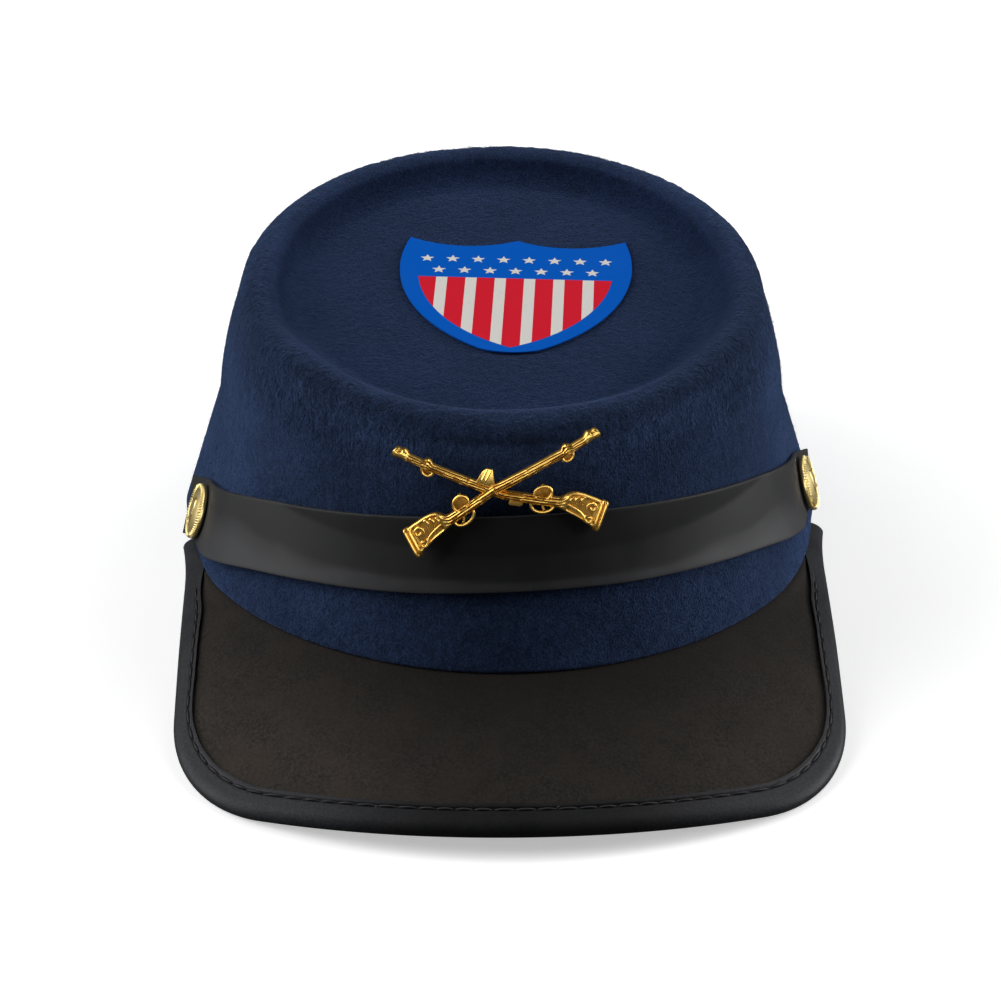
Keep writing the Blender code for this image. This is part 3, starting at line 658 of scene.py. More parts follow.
def suede_material(nap, lint):
    material, tree, shader = new_material("Brown suede board")
    vector = object_vector(tree)
    grain = place_group(tree, nap, Vector=vector, Grain=1300.0, Mottle=140.0)
    tone = mix_colour(tree, grain["Fibres"], (0.0085, 0.0070, 0.0060), (0.0275, 0.0230, 0.0196))
    warm = mix_colour(tree, grain["Clumps"], tone, (0.0260, 0.0205, 0.0165))
    soft = mix_colour(tree, 0.45, tone, warm)
    brown = remap(tree, cloud(tree, vector, 80.0, 4.0, 0.62), (0.34, 0.70))
    worn = mix_colour(tree, 0.55, soft, mix_colour(tree, brown, soft, (0.0262, 0.0195, 0.0140)))
    patches = remap(tree, cloud(tree, vector, 90.0, 5.0, 0.68), (0.3, 0.7), (0.89, 1.15))
    # Painted shade along the crown and over the middle and painted light towards the left and right scale the
    # suede's colour.
    uneven = scaled(tree, worn, math_node(tree, "MULTIPLY", patches, attribute(tree, "painted_shading")))
    colour = with_lint(tree, lint, vector, uneven, 0.020, 0.30 * MM, (0.12, 0.10, 0.08))
    bump(tree, shader, grain["Height"], 0.12 * MM, 0.8)
    fill(shader, Base_Color=colour, Roughness=0.80, Specular_IOR_Level=0.20)
    fill(shader, Sheen_Weight=0.03, Sheen_Roughness=0.4)
    return material


def tape_material(lint):
    material, tree, shader = new_material("Black folded tape")
    vector = object_vector(tree)
    soft = cloud(tree, vector, 160.0, 3.0, 0.5)
    tone = mix_colour(tree, soft, (0.0080, 0.0083, 0.0094), (0.0125, 0.0130, 0.0148))
    grain = remap(tree, cloud(tree, vector, 1500.0, 3.0, 0.65), (0.34, 0.66), (0.72, 1.28))
    # Painted shade over the front and painted light towards the left and right scale the tape's colour.
    worn = scaled(tree, tone, math_node(tree, "MULTIPLY", grain, attribute(tree, "painted_shading")))
    colour = with_lint(tree, lint, vector, worn, 0.024, 0.30 * MM, (0.22, 0.15, 0.08))
    rough = remap(tree, soft, (0.3, 0.7), (0.42, 0.50))
    height = math_node(tree, "MULTIPLY_ADD", grain, 0.5, cloud(tree, vector, 2600.0))
    bump(tree, shader, height, 0.07 * MM, 0.7)
    fill(shader, Base_Color=colour, Roughness=rough, Specular_IOR_Level=0.19, Sheen_Weight=0.02)
    return material


def thread_material(name, dark, pale, roughness, depth=0.0):
    """Twisted thread between two tones, with a bump of a depth where it is thick enough for one."""
    material, tree, shader = new_material(name)
    twist = cloud(tree, object_vector(tree), 4200.0)
    fill(shader, Base_Color=mix_colour(tree, twist, dark, pale), Roughness=roughness)
    if depth:
        bump(tree, shader, twist, depth, 0.8)
    return material


def satin_material(lint):
    material, tree, shader = new_material("Black satin strap")
    ribs = node(tree, "Mapping", lay_map(tree), Scale=(260.0, 40.0, 1.0)).outputs[0]
    slanted = {"bands_direction": "DIAGONAL"}
    weave = node(tree, "TexWave", settings=slanted, Vector=ribs, Scale=1.0, Distortion=2.0)
    vector = object_vector(tree)
    soft = cloud(tree, vector, 120.0, 3.0, 0.5)
    tone = mix_colour(tree, soft, (0.0200, 0.0203, 0.0216), (0.0310, 0.0315, 0.0336))
    # Painted sheen: the strap's flared lower band is made lighter.
    sheen_painted_tone = scaled(tree, tone, math_node(tree, "MULTIPLY_ADD", attribute(tree, "band"), 0.85, 0.92))
    colour = with_lint(tree, lint, vector, sheen_painted_tone, 0.022, 0.22 * MM, (0.10, 0.10, 0.10))
    woven = math_node(tree, "MULTIPLY", weave.outputs["Fac"], 0.2)
    grain = math_node(tree, "MULTIPLY_ADD", cloud(tree, vector, 3200.0, 2.0, 0.6), 0.8, woven)
    bump(tree, shader, grain, 0.03 * MM, 0.7)
    rough = remap(tree, soft, (0.25, 0.75), (0.46, 0.56))
    fill(shader, Base_Color=colour, Roughness=rough, Specular_IOR_Level=0.20, Sheen_Weight=0.03)
    return material


def metal_material(name, tarnish, bright, dull, roughness, patches):
    material, tree, shader = new_material(name)
    worn = place_group(
        tree, tarnish, Vector=object_vector(tree), Recess=attribute(tree, "recess"), Patches=patches
    )
    rough = remap(tree, worn["Dull"], (0.0, 1.0), (roughness, roughness + 0.26))
    bump(tree, shader, worn["Grit"], 0.03 * MM, 0.5)
    fill(shader, Base_Color=mix_colour(tree, worn["Dull"], bright, dull), Roughness=rough, Metallic=1.0)
    return material


def ink_material(name, colour, roughness):
    material, tree, shader = new_material(name)
    vector = object_vector(tree)
    fibre = cloud(tree, vector, 3500.0, 3.0, 0.6)
    broad = cloud(tree, vector, 60.0)
    low = [channel * 0.93 for channel in colour]
    high = [min(channel * 1.06, 1.0) for channel in colour]
    tone = mix_colour(tree, fibre, low, high)
    even = mix_colour(tree, math_node(tree, "MULTIPLY", broad, 0.16), tone, low)
    rough = remap(tree, broad, (0.3, 0.7), (roughness, roughness + 0.10))
    bump(tree, shader, fibre, 0.02 * MM, 0.4)
    fill(shader, Base_Color=even, Roughness=rough, Specular_IOR_Level=0.12)
    return material


# --- crown

CROWN_COLUMNS = 420
OUTER_PROFILE = felt_profile(wall=84, roll=28, corner=10, floor=26)
INNER_PROFILE = felt_profile(wall=16, roll=8, corner=3, floor=6)
FIBRE_BATCHES = 100
FIBRES_IN_BATCH = 150
FIBRE_LENGTH = 1.3 * MM
FIBRE_RADIUS = 0.042 * MM
FIBRE_ROOT = 0.15 * MM
FIBRE_PLACES = {"roll": 0.36, "wall": 0.80, "corner": 0.86}  # the shares of the fibres up to there


def around(column, columns):
    return 2 * math.pi * column / columns - math.pi


def nap_swell(place, part, value):
    """How far the brushed felt stands off its plain face: slow waves, and clumps, largest on the crest."""
    wave = 0.35 * noise.noise(place / (34 * MM))
    clump = noise.noise(place / (2.6 * MM)) + 0.6 * noise.noise(place / (1.3 * MM) + Vector((7, 3, 5)))
    if part == "roll":
        size = 0.06 + 0.24 * bump_at(value, 52, 62)
    elif part == "wall":
        size = 0.06 + 0.10 * smooth_share(value, 0.80, 1.0)
    else:
        size = 0.05
        wave *= 0.6
    if part == "wall" and value < 0.72:
        wave *= 0.3
    return (wave + clump * size) * MM


def ridge_share(angle, part, value):
    """How tufted the felt is, and how much painted shade it gets between the tufts: most on the outer side of
    the rolled edge, at the front and the sides.
    """
    if part == "wall":
        share = smooth_share(value, 0.80, 0.99)
    elif part == "roll":
        share = 1 - smooth_share(value, 60, 120)
    else:
        return 0.0
    side = 0.30 + 0.70 * smooth_share(math.cos(angle), -0.6, 0.1)
    return share * side * (1.80 - 1.25 * smooth_share(math.cos(angle), 0.55, 1.0))


def top_share(angle, part, value):
    """How far the felt takes the top's nap and the top's painted shade, darker than the walls' painted light:
    it starts later on the rolled edge towards the back.
    """
    if part != "roll":
        return 0.0 if part == "wall" else 1.0
    back = smooth_share(-math.cos(angle), -0.6, 0.7)
    return smooth_share(value, 45, 118) * (1 - 0.60 * back * (1 - smooth_share(value, 122, ROLL_END)))


def painted_light_share(angle, part, value):
    """Where painted light makes the felt paler: the front just under the rolled edge, and the left and right
    walls, with a little painted shade over the middle of the front wall.
    """
    front = smooth_share(math.cos(angle), 0.45, 0.90)
    side = 0.30 * smooth_share(abs(math.sin(angle)), 0.75, 0.98)
    if part == "wall":
        low = smooth_share(value, 0.20, 0.45) * (1 - smooth_share(value, 0.82, 0.95))
        return front * (0.54 * smooth_share(value, 0.88, 0.98) - 0.17 * low) + side
    if part == "roll":
        return 0.54 * front * (1 - smooth_share(value, 8, 46)) + side * (1 - smooth_share(value, 45, 110))
    return 0.0


FELT_SHARES = {"top_share": top_share, "ridge_share": ridge_share, "painted_light_share": painted_light_share}


def make_crown(material):
    shape = new_shape(*FELT_SHARES)

    def sheet(profile, depth):
        def place(column, row):
            return felt_point(around(column, CROWN_COLUMNS), *profile[row], depth)

        return grid_sheet(shape, CROWN_COLUMNS, len(profile) - 1, place)

    rows_of = {}
    for index, vertex in enumerate(sheet(OUTER_PROFILE, 0.0)):
        row, column = divmod(index, CROWN_COLUMNS + 1)
        rows_of[vertex] = OUTER_PROFILE[row]
        for name, share in FELT_SHARES.items():
            paint(shape, name, [vertex], share(around(column, CROWN_COLUMNS), *OUTER_PROFILE[row]))
    sheet(INNER_PROFILE, FELT)
    weld(shape, shape.verts)
    bmesh.ops.bridge_loops(shape, edges=[edge for edge in shape.edges if edge.is_boundary])
    bmesh.ops.recalc_face_normals(shape, faces=shape.faces)
    shape.normal_update()
    for vertex, row in rows_of.items():
        if vertex.is_valid:
            vertex.co += vertex.normal * nap_swell(vertex.co, *row)
    add_piece("crown_felt", to_mesh(shape, on_floor=True), material, "blue_felt", node="crown")


def fibre_root(choose):
    """A place for a loose fibre: the part of the profile and the value in it, most of them on the crest."""
    pick = choose.random()
    if pick < FIBRE_PLACES["roll"]:
        return "roll", choose.triangular(0, ROLL_END, 55)
    if pick < FIBRE_PLACES["wall"]:
        return "wall", choose.uniform(0.0, 1.0) ** 0.7
    if pick < FIBRE_PLACES["corner"]:
        return "corner", choose.uniform(0, CORNER_SLOPE)
    return "floor", choose.uniform(0.0, 1.0) ** 1.6


def add_fibre(batch, choose):
    """One loose fibre that leans down the wall, or any way on the top. None grows under the strap."""
    angle = choose.uniform(-math.pi, math.pi)
    part, value = fibre_root(choose)
    root = felt_point(angle, part, value, 0.0)
    if part == "wall" and strap_covers(angle, root.z):
        return
    step = 0.01 if part in ("wall", "floor") else 2.0
    beside = (felt_point(angle + 0.01, part, value, 0.0) - root).normalized()
    ahead = (felt_point(angle, part, value + step, 0.0) - root).normalized()
    normal = beside.cross(ahead).normalized()
    if part == "corner" or (part == "floor" and normal.z < 0):
        normal = -normal
    lean = ahead * choose.gauss(-0.5 if part == "wall" else 0.0, 0.6) + beside * choose.gauss(0, 0.5)
    stand = choose.gauss(0.20 if part == "roll" else 0.38, 0.15)
    heading = (normal * abs(stand) + lean).normalized()
    length = FIBRE_LENGTH * choose.uniform(0.55, 1.35)
    turned = heading.to_track_quat("Z", "Y").to_matrix().to_4x4()
    place = Matrix.Translation(root + heading * (length / 2 - FIBRE_ROOT)) @ turned
    taper = {"radius1": FIBRE_RADIUS, "radius2": FIBRE_RADIUS * 0.2, "depth": length}
    made = bmesh.ops.create_cone(batch, cap_ends=True, segments=3, **taper, matrix=place)["verts"]
    paint(batch, "tone", made, choose.random())


def make_nap(material):
    """Loose fibres that stand off the felt."""
    choose = random.Random(11)
    whole = new_shape("tone")
    for _ in range(FIBRE_BATCHES):
        batch = new_shape("tone")
        for _ in range(FIBRES_IN_BATCH):
            add_fibre(batch, choose)
        join_into(whole, batch)
    add_piece("crown_nap", to_mesh(whole, on_floor=True), material, "blue_felt")


# --- strap and buttons


def strap_place(along, across):
    """The angle and height of a place on the strap, which is cut from a flat strip and lies on a cone."""
    apex_to_strap = STRAP_CONE_RADIUS / math.sin(STRAP_CONE)
    apex_height = STRAP_HEIGHT + apex_to_strap * math.cos(STRAP_CONE)
    down = apex_to_strap - across
    angle = math.atan2(along, down) / math.sin(STRAP_CONE)
    return angle, apex_height - math.hypot(along, down) * math.cos(STRAP_CONE)


def strap_length_to(angle):
    return STRAP_CONE_RADIUS / math.sin(STRAP_CONE) * math.tan(angle * math.sin(STRAP_CONE))


def strap_point(along, across, proud=0.0):
    angle, height = strap_place(along, across)
    height += STRAP_TILT * math.sin(angle)
    lift = STRAP_LIFT * max(abs(angle) - STRAP_LIFT_START, 0) / (STRAP_END - STRAP_LIFT_START)
    bridge = pinch_depth(height / TOP_HEIGHT) * pinch_share(angle)[1]
    return wall_at_height(angle, height, STRAP_GAP + lift + bridge + proud)


def strap_low(angle):
    lower = STRAP_NARROWING * smooth_share(abs(angle), *STRAP_NARROWING_SPAN) - STRAP_WIDTH / 2
    return lower + STRAP_END_RISE * smooth_share(abs(angle), *STRAP_END_RISE_SPAN)


def strap_covers(angle, height):
    if abs(angle) > STRAP_END:
        return False
    along = strap_length_to(angle)
    high = strap_point(along, STRAP_WIDTH / 2).z + 0.6 * MM
    low = strap_point(along, strap_low(angle)).z - 0.6 * MM
    return low < height < high


# Where the strap's lower band starts to stand off, as a share of its width below the top edge
FLARE_STARTS = (
    # degrees, share
    (-75, 0.10),
    (-62, 0.30),
    (-50, 0.52),
    (-36, 0.70),
    (-20, 0.80),
    (0, 0.88),
    (25, 0.84),
    (45, 0.66),
    (62, 0.42),
    (75, 0.10),
)
FLARE_SLOPE = 0.13
FLARE_BEND = 0.8 * MM


def strap_flare(angle, across):
    """How far the strap's soft lower band stands off the felt."""
    degrees = math.degrees(angle)
    start = table_at(FLARE_STARTS, degrees, ease=lambda share: smooth_share(share, 0, 1))[0]
    below = STRAP_WIDTH * (0.5 - start) - across
    if below < -FLARE_BEND:
        return 0.0
    rise = (below + FLARE_BEND) ** 2 / (4 * FLARE_BEND) if below < FLARE_BEND else below
    return FLARE_SLOPE * rise * (1 - smooth_share(abs(degrees), 60, 78))


STRAP_FILLS = (
    # degrees, half width, depth
    (-66, 13, 0.5 * MM),
    (62, 16, 0.3 * MM),
)


def strap_fill(angle):
    """How much the strap spans the felt's hollow beside a button."""
    degrees = math.degrees(angle)
    return sum(depth * bump_at(degrees, middle, half) for middle, half, depth in STRAP_FILLS)


STRAP_COLUMNS = 300
STRAP_ROWS = 22
CREASE = {"middle": -0.0990, "half_width": 0.0022}


def make_strap(material):
    half_length = strap_length_to(STRAP_END)
    painted_sheen_flares = []

    def place(column, row):
        along = half_length * (2 * column / STRAP_COLUMNS - 1)
        angle, _ = strap_place(along, 0)
        high, low = STRAP_WIDTH / 2, strap_low(angle)
        across = low + (high - low) * row / STRAP_ROWS
        ripple = 0.08 * MM * noise.noise(Vector((along / 0.020, across / 0.012, 2.0)))
        crease = -0.12 * MM * bump_at(along, **CREASE) * smooth_share(-across, -0.002, 0.008)
        flare = strap_flare(angle, across)
        # The flare, weighted towards the front, sets where the strap's lower band gets a painted sheen.
        painted_sheen_flares.append(flare * (1.15 - smooth_share(abs(math.degrees(angle)), 12, 48)))
        return strap_point(along, across, ripple + crease + flare + strap_fill(angle))

    shape = new_shape("band")
    # The band attribute marks the flared lower band for its painted sheen.
    for vertex, stood_off in zip(grid_sheet(shape, STRAP_COLUMNS, STRAP_ROWS, place), painted_sheen_flares):
        paint(shape, "band", [vertex], smooth_share(stood_off, 0.0, 0.14 * MM))
    piece = add_piece("chin_strap", to_mesh(shape), material, "black_satin", node="strap")
    thickness = piece.modifiers.new("Thickness", "SOLIDIFY")
    thickness.thickness = STRAP_THICKNESS
    thickness.offset = 1
    thickness.use_even_offset = True
    edge = piece.modifiers.new("Soft edge", "BEVEL")
    edge.width = 0.22 * MM
    edge.segments = 2
    edge.limit_method = "ANGLE"
    edge.angle_limit = math.radians(50)


BUTTON_PROFILE = (
    # radius, height, how much of a hollow it is
    (0.0000, 0.00270, 0.55),
    (0.0020, 0.00262, 0.55),
    (0.0036, 0.00238, 0.60),
    (0.0048, 0.00204, 0.65),
    (0.0056, 0.00172, 0.80),
    (0.00595, 0.00148, 0.95),
    (0.00615, 0.00150, 0.60),
    (0.00635, 0.00170, 0.10),
    (0.00655, 0.00150, 0.60),
    (0.00665, 0.00140, 0.80),
    (0.00690, 0.00140, 0.60),
    (0.00745, 0.00140, 0.30),
    (0.00775, 0.00120, 0.20),
    (0.00788, 0.00080, 0.20),
    (0.00775, 0.00035, 0.30),
    (0.00740, 0.00005, 0.40),
    (0.0000, 0.00005, 0.60),
)
ROPE_TURNS = 58
ROPE_TWIST = 0.20 * MM  # of each turn to both sides of its spoke
ROPE_IN = {"radius": 0.00668, "height": 0.00160}
ROPE_OUT = {"radius": 0.00776, "height": 0.00120}
ROPE_RISE = 0.42 * MM
ROPE_SWELLING = swelling(0.16, 0.20)
# Half of the relief shield on a button's dome, from the top middle to the point
RELIEF_HALF = (
    (0.0, 0.0030), (0.0012, 0.0036), (0.0027, 0.0033),
    (0.0029, 0.0010), (0.0022, -0.0014), (0.0, -0.0042),
)
RELIEF_STEPS = 4
RELIEF_WIRE = 0.24 * MM


def rope_turn(i):
    """One turn of the rope round a button's rim, as three points."""
    turn = 2 * math.pi * i / ROPE_TURNS
    spoke = Vector((math.cos(turn), math.sin(turn), 0))
    aside = Vector((-math.sin(turn), math.cos(turn), 0)) * ROPE_TWIST
    start = spoke * ROPE_IN["radius"] - aside + Vector((0, 0, ROPE_IN["height"]))
    end = spoke * ROPE_OUT["radius"] + aside + Vector((0, 0, ROPE_OUT["height"]))
    return start, start.lerp(end, 0.5) + Vector((0, 0, ROPE_RISE)), end


def relief_path():
    """The outline of the relief shield, laid on the button's dome."""
    outline = [Vector(point) for point in RELIEF_HALF] + [Vector((-x, y)) for x, y in RELIEF_HALF[-2:0:-1]]
    path = []
    for first, second in zip(outline, outline[1:] + outline[:1]):
        for i in range(RELIEF_STEPS):
            flat = first.lerp(second, i / RELIEF_STEPS)
            path.append((flat.x, flat.y, table_at(BUTTON_PROFILE, flat.length)[0] + 0.02 * MM))
    return path


def button_place(angle):
    """Where a button sits: on the strap's face, turned along it and facing out."""
    along = strap_length_to(angle)
    reaches = (-BUTTON_RADIUS, BUTTON_RADIUS)
    front, back = (strap_point(along + reach, BUTTON_RAISED) for reach in reaches)
    low, high = (strap_point(along, BUTTON_RAISED + reach) for reach in reaches)
    face = (back - front).cross(high - low).normalized()
    seat = (front + back) / 2 + face * (STRAP_THICKNESS + BUTTON_STAND_OFF)
    side = (high - low).normalized().cross(face).normalized()
    return facing(seat, side, face)


def make_button(name, angle, material):
    shape = new_shape("recess")
    points = [shape.verts.new((radius, 0, height)) for radius, height, _ in BUTTON_PROFILE]
    for vertex, (_, _, hollow) in zip(points, BUTTON_PROFILE):
        paint(shape, "recess", [vertex], hollow)
    edges = [shape.edges.new(pair) for pair in zip(points, points[1:])]
    whole_turn = {"cent": (0, 0, 0), "axis": (0, 0, 1), "angle": 2 * math.pi, "steps": 96}
    bmesh.ops.spin(shape, geom=points + edges, **whole_turn, use_merge=True, use_duplicate=False)
    weld(shape, shape.verts)
    for i in range(ROPE_TURNS):
        paint(shape, "recess", tube(shape, rope_turn(i), ROPE_SWELLING, sides=6), 0.0)
    paint(shape, "recess", tube(shape, relief_path(), RELIEF_WIRE, sides=6, looped=True), 0.05)
    mesh = to_mesh(shape, REST @ button_place(angle))
    return add_piece(f"{name}_brass", mesh, material, "button_brass", node=name, sharp=60)


# --- peak


def peak_outline(front=44, corner=40, side=50):
    """The peak's outer edge from end to end: a wide front arc, round corners and slightly flared sides."""
    corner_x = PEAK_HALF_WIDTH - PEAK_CORNER_RADIUS
    front_centre = PEAK_FRONT_RADIUS - PEAK_FRONT
    reach = PEAK_FRONT_RADIUS - PEAK_CORNER_RADIUS
    corner_y = front_centre - math.sqrt(reach**2 - corner_x**2)
    front_turn = math.asin(corner_x / reach)
    half = []
    for i in range(front):
        turn = front_turn * i / front
        half.append((PEAK_FRONT_RADIUS * math.sin(turn), front_centre - PEAK_FRONT_RADIUS * math.cos(turn)))
    for i in range(corner + 1):
        turn = front_turn + (math.pi / 2 - front_turn) * i / corner
        x = corner_x + PEAK_CORNER_RADIUS * math.sin(turn)
        half.append((x, corner_y - PEAK_CORNER_RADIUS * math.cos(turn)))
    sides = {}
    for hand, end in PEAK_ENDS.items():
        sides[hand] = [(hand * x, y) for x, y in half]
        for i in range(1, side + 1):
            y = corner_y + (-end - corner_y) * i / side
            flare = PEAK_END_FLARE * max((y + end + PEAK_PIVOT) / PEAK_PIVOT, 0) ** 2
            sides[hand].append((hand * (PEAK_HALF_WIDTH + flare), y))
    turn, pivot = Matrix.Rotation(PEAK_TURN, 2), Vector((0, PEAK_PIVOT))
    return [turn @ (Vector(point) + pivot) - pivot for point in sides[-1][:0:-1] + sides[1]]


def foot_on_hem(x, y):
    """The hem's angle at the foot of the line from a point square to the hem, and that line's length."""
    low, high = (0.0, math.pi / 2) if x >= 0 else (-math.pi / 2, 0.0)
    for _ in range(40):
        middle = (low + high) / 2
        hem, normal = hem_point(middle), outward(middle)
        aside = (x - hem.x) * -normal.y + (y - hem.y) * normal.x
        low, high = (middle, high) if aside > 0 else (low, middle)
    return low, (Vector((x, y, 0)) - hem_point(low)).dot(outward(low))


def tape_reach(reach):
    return TAPE_END_REACH + (TAPE_REACH - TAPE_END_REACH) * smooth_share(reach, 0.008, 0.014)


def lowered(reach):
    """How much lower the board lies where the peak is narrow, so that the tape's top passes under the hem."""
    return (TAPE + GAP) * (1 - smooth_share(reach, 0.008, 0.020))


def board_frame(angle, reach, run):
    """A place on the board's top at a run out from the hem, the way out along the board, and its normal."""
    steepness = min(max((run + PEAK_BEND) / (2 * PEAK_BEND), 0.0), 1.0)
    bent = run if run >= PEAK_BEND else steepness * max(run + PEAK_BEND, 0.0) / 2
    slope = math.tan(PEAK_SLOPE)
    up = Vector((0, 0, 1))
    place = hem_point(angle) + outward(angle) * run - up * (GAP + lowered(reach) + slope * bent)
    along = (outward(angle) - up * slope * steepness).normalized()
    normal = (up + outward(angle) * slope * steepness).normalized()
    return place, along, normal


PEAK_FEET = [(*foot_on_hem(x, y), x, y) for x, y in peak_outline()]
BOARD_ROWS = 34
BOARD_INSET = 0.0036  # of the board's edge inside the folded tape
PACKING_WIDTH = 0.0030
NOSE_TOP = 0.0026  # from the tape's outer edge to where its top is flat
NOSE_BACK = 0.0024  # from the tape's outer edge to where its underside is flat
NOSE_FULLNESS = 2.2
GROOVE = {"depth": 0.36 * MM, "half_width": 0.60 * MM}
TOP_STEPS, OUTER_STEPS, BACK_STEPS, UNDER_STEPS, POCKET_STEPS = 12, 16, 8, 4, 3


def board_section(foot):
    """The board from inside the hem to its edge and back below, its top packed up beside the tape's ends."""
    angle, reach, _, _ = foot
    edge = max(reach - BOARD_INSET, FELT)
    bare = reach - tape_reach(reach)
    packing = lowered(reach) * smooth_share(bare, -0.1 * MM, 0.3 * MM)
    packed_to = min(PACKING_WIDTH, max(bare, 0.2 * MM))
    top, below = [], []
    for i in range(BOARD_ROWS + 1):
        run = -FELT + (edge + FELT) * i / BOARD_ROWS
        place, _, normal = board_frame(angle, reach, run)
        flat = 0.10 * MM * noise.noise(place / (16 * MM)) * smooth_share(run, 0.002, 0.010)
        flat *= smooth_share(reach - run, 0.004, 0.012)
        top.append(place + normal * (flat + packing * (1 - smooth_share(run, 0.0, packed_to))))
        if i % 2 == 0:
            below.append(place - normal * BOARD)
    return top + below[::-1]


def tape_section(foot):
    """The folded tape: out over its sewn groove, round its edge, and back below and along the inside."""
    angle, reach, x, y = foot
    inner = max(reach - tape_reach(reach), -0.9 * FELT)
    half = BOARD / 2 + GAP + TAPE
    room = smooth_share(reach, 0.006, 0.012)
    groove = inner + STITCH_BACK
    groove_end = groove + GROOVE["half_width"]
    wander = 0.30 * noise.noise(Vector((x, y, 0)) / (15 * MM))
    wander += 0.12 * noise.noise(Vector((x, y, 1)) / (4 * MM))

    def at(run, above):
        place, _, normal = board_frame(angle, reach, run)
        return place + normal * (above - BOARD / 2)

    def nose_height(run, start):
        return half * max(1 - max((run - start) / (reach - start), 0) ** NOSE_FULLNESS, 0.0) ** 0.5

    def spread(start, end, steps):
        return [start + (end - start) * i / steps for i in range(steps + 1)]

    section = [at(inner, half - 0.6 * MM)]
    for i, run in enumerate(spread(inner, groove_end, TOP_STEPS)):
        relief = 0.06 * MM * bump_at(run, inner + 0.6 * MM, 0.6 * MM)
        relief -= GROOVE["depth"] * bump_at(run, groove, GROOVE["half_width"])
        section.append(at(run + wander * MM * room * (1 - i / TOP_STEPS), half + relief * room))
    for i in range(1, OUTER_STEPS + 1):
        run = groove_end + (reach - groove_end) * math.sin(math.pi / 2 * i / OUTER_STEPS)
        crowned = 0.12 * MM * bump_at(run, (groove + reach) / 2, 0.0022) * room
        section.append(at(run, nose_height(run, max(reach - NOSE_TOP, groove_end)) + crowned))
    back = reach - NOSE_BACK
    for i in range(BACK_STEPS - 1, -1, -1):
        run = back + NOSE_BACK * math.sin(math.pi / 2 * i / BACK_STEPS)
        section.append(at(run, -nose_height(run, back)))
    section += [at(run, -half) for run in spread(inner, back, UNDER_STEPS)[-2::-1]]
    pocket = spread(inner, max(reach - BOARD_INSET + GAP, inner + 0.4 * MM), POCKET_STEPS)
    section += [at(run, TAPE - half) for run in pocket]
    section += [at(run, half - TAPE) for run in pocket[::-1]]
    return section


def board_painted_shading(place):
    """Painted shading of the suede: painted shade along the crown and over the middle, painted light towards
    the left and right.
    """
    hem = hem_point(foot_on_hem(place.x, place.y)[0])
    run = (place.xy - hem.xy).length
    beside = 0.66 * smooth_share(-place.x, 0.012, 0.060) + 0.34 * smooth_share(place.x, 0.020, 0.065)
    away = 0.52 + 0.48 * smooth_share(run, 0.0, 0.026) + 0.18 * smooth_share(run, 0.018, 0.032)
    return (0.72 + beside) * away


def tape_painted_shading(place):
    """Painted shading of the tape: painted shade over the front, painted light towards the left and right."""
    return 0.60 + 1.75 * smooth_share(abs(place.x), 0.022, 0.062)


def make_peak(suede, tape):
    for section, painted_shading, name, material, slot, node, sharp in (
        (board_section, board_painted_shading, "peak_suede", suede, "brown_suede", "peak", 40),
        (tape_section, tape_painted_shading, "peak_tape", tape, "black_tape", "peak_binding", 50),
    ):
        shape = section_piece([section(foot) for foot in PEAK_FEET], "painted_shading")
        for vertex in shape.verts:
            paint(shape, "painted_shading", [vertex], painted_shading(vertex.co))
        add_piece(name, to_mesh(shape, on_floor=True), material, slot, node=node, sharp=sharp)


STITCH_START = 1.5 * MM
STITCH_END = 5 * MM
STITCH_SWELLING = swelling(0.14, 0.19, 0.5)
STITCH_LENGTHS = (3.8 * MM, 5.0 * MM)
STITCH_GAPS = (0.4 * MM, 0.8 * MM)
NARROWEST_SEWN = 7.5 * MM
THREAD_END = 1.1 * MM


def stitch_points():
    """The stitch line on the tape, with distances along it."""
    points = []
    for angle, reach, _, _ in PEAK_FEET:
        if reach >= NARROWEST_SEWN:
            place, along, normal = board_frame(angle, reach, reach - tape_reach(reach) + STITCH_BACK)
            points.append((place + normal * (GAP + TAPE - 0.3 * MM), along, normal))
    lengths = [0.0]
    for first, second in zip(points, points[1:]):
        lengths.append(lengths[-1] + (second[0] - first[0]).length)
    return points, lengths


def at_length(points, lengths, distance):
    for i in range(len(lengths) - 1):
        if lengths[i + 1] >= distance:
            share = (distance - lengths[i]) / (lengths[i + 1] - lengths[i])
            return [first.lerp(second, share) for first, second in zip(points[i], points[i + 1])]
    return list(points[-1])


def make_stitches(thread, tan):
    """Single stitches along the tape's groove, and a loose tan thread end at every ninth hole."""
    choose = random.Random(5)
    points, lengths = stitch_points()
    shape = new_shape()
    distance = STITCH_START
    holes = []
    while distance < lengths[-1] - STITCH_END:
        size = choose.uniform(*STITCH_LENGTHS)
        path = []
        for i in range(6):
            place, along, normal = at_length(points, lengths, distance + size * i / 5)
            arch = 0.34 * MM * math.sin(math.pi * i / 5)
            path.append(place + normal * arch + along * choose.uniform(-0.03 * MM, 0.03 * MM))
        tube(shape, path, STITCH_SWELLING, sides=6)
        distance += size + choose.uniform(*STITCH_GAPS)
        holes.append(distance)
    add_piece("peak_stitches", to_mesh(shape), thread, "black_tape")
    ends = new_shape()
    for hole in holes[4::9]:
        place, along, normal = at_length(points, lengths, hole - 0.5 * MM)
        path = []
        heading = Vector((choose.uniform(-1, 1), choose.uniform(-1, 1), 0)).normalized() * THREAD_END
        for share in (0.0, 0.25, 0.5, 0.75, 1.0):
            rise = (0.2 + 0.5 * math.sin(math.pi * share * 0.8)) * MM
            path.append(place + normal * rise + heading * share)
        tube(ends, path, 0.07 * MM, sides=5)
    add_piece("peak_thread_ends", to_mesh(ends), tan, "black_tape")


# --- badge


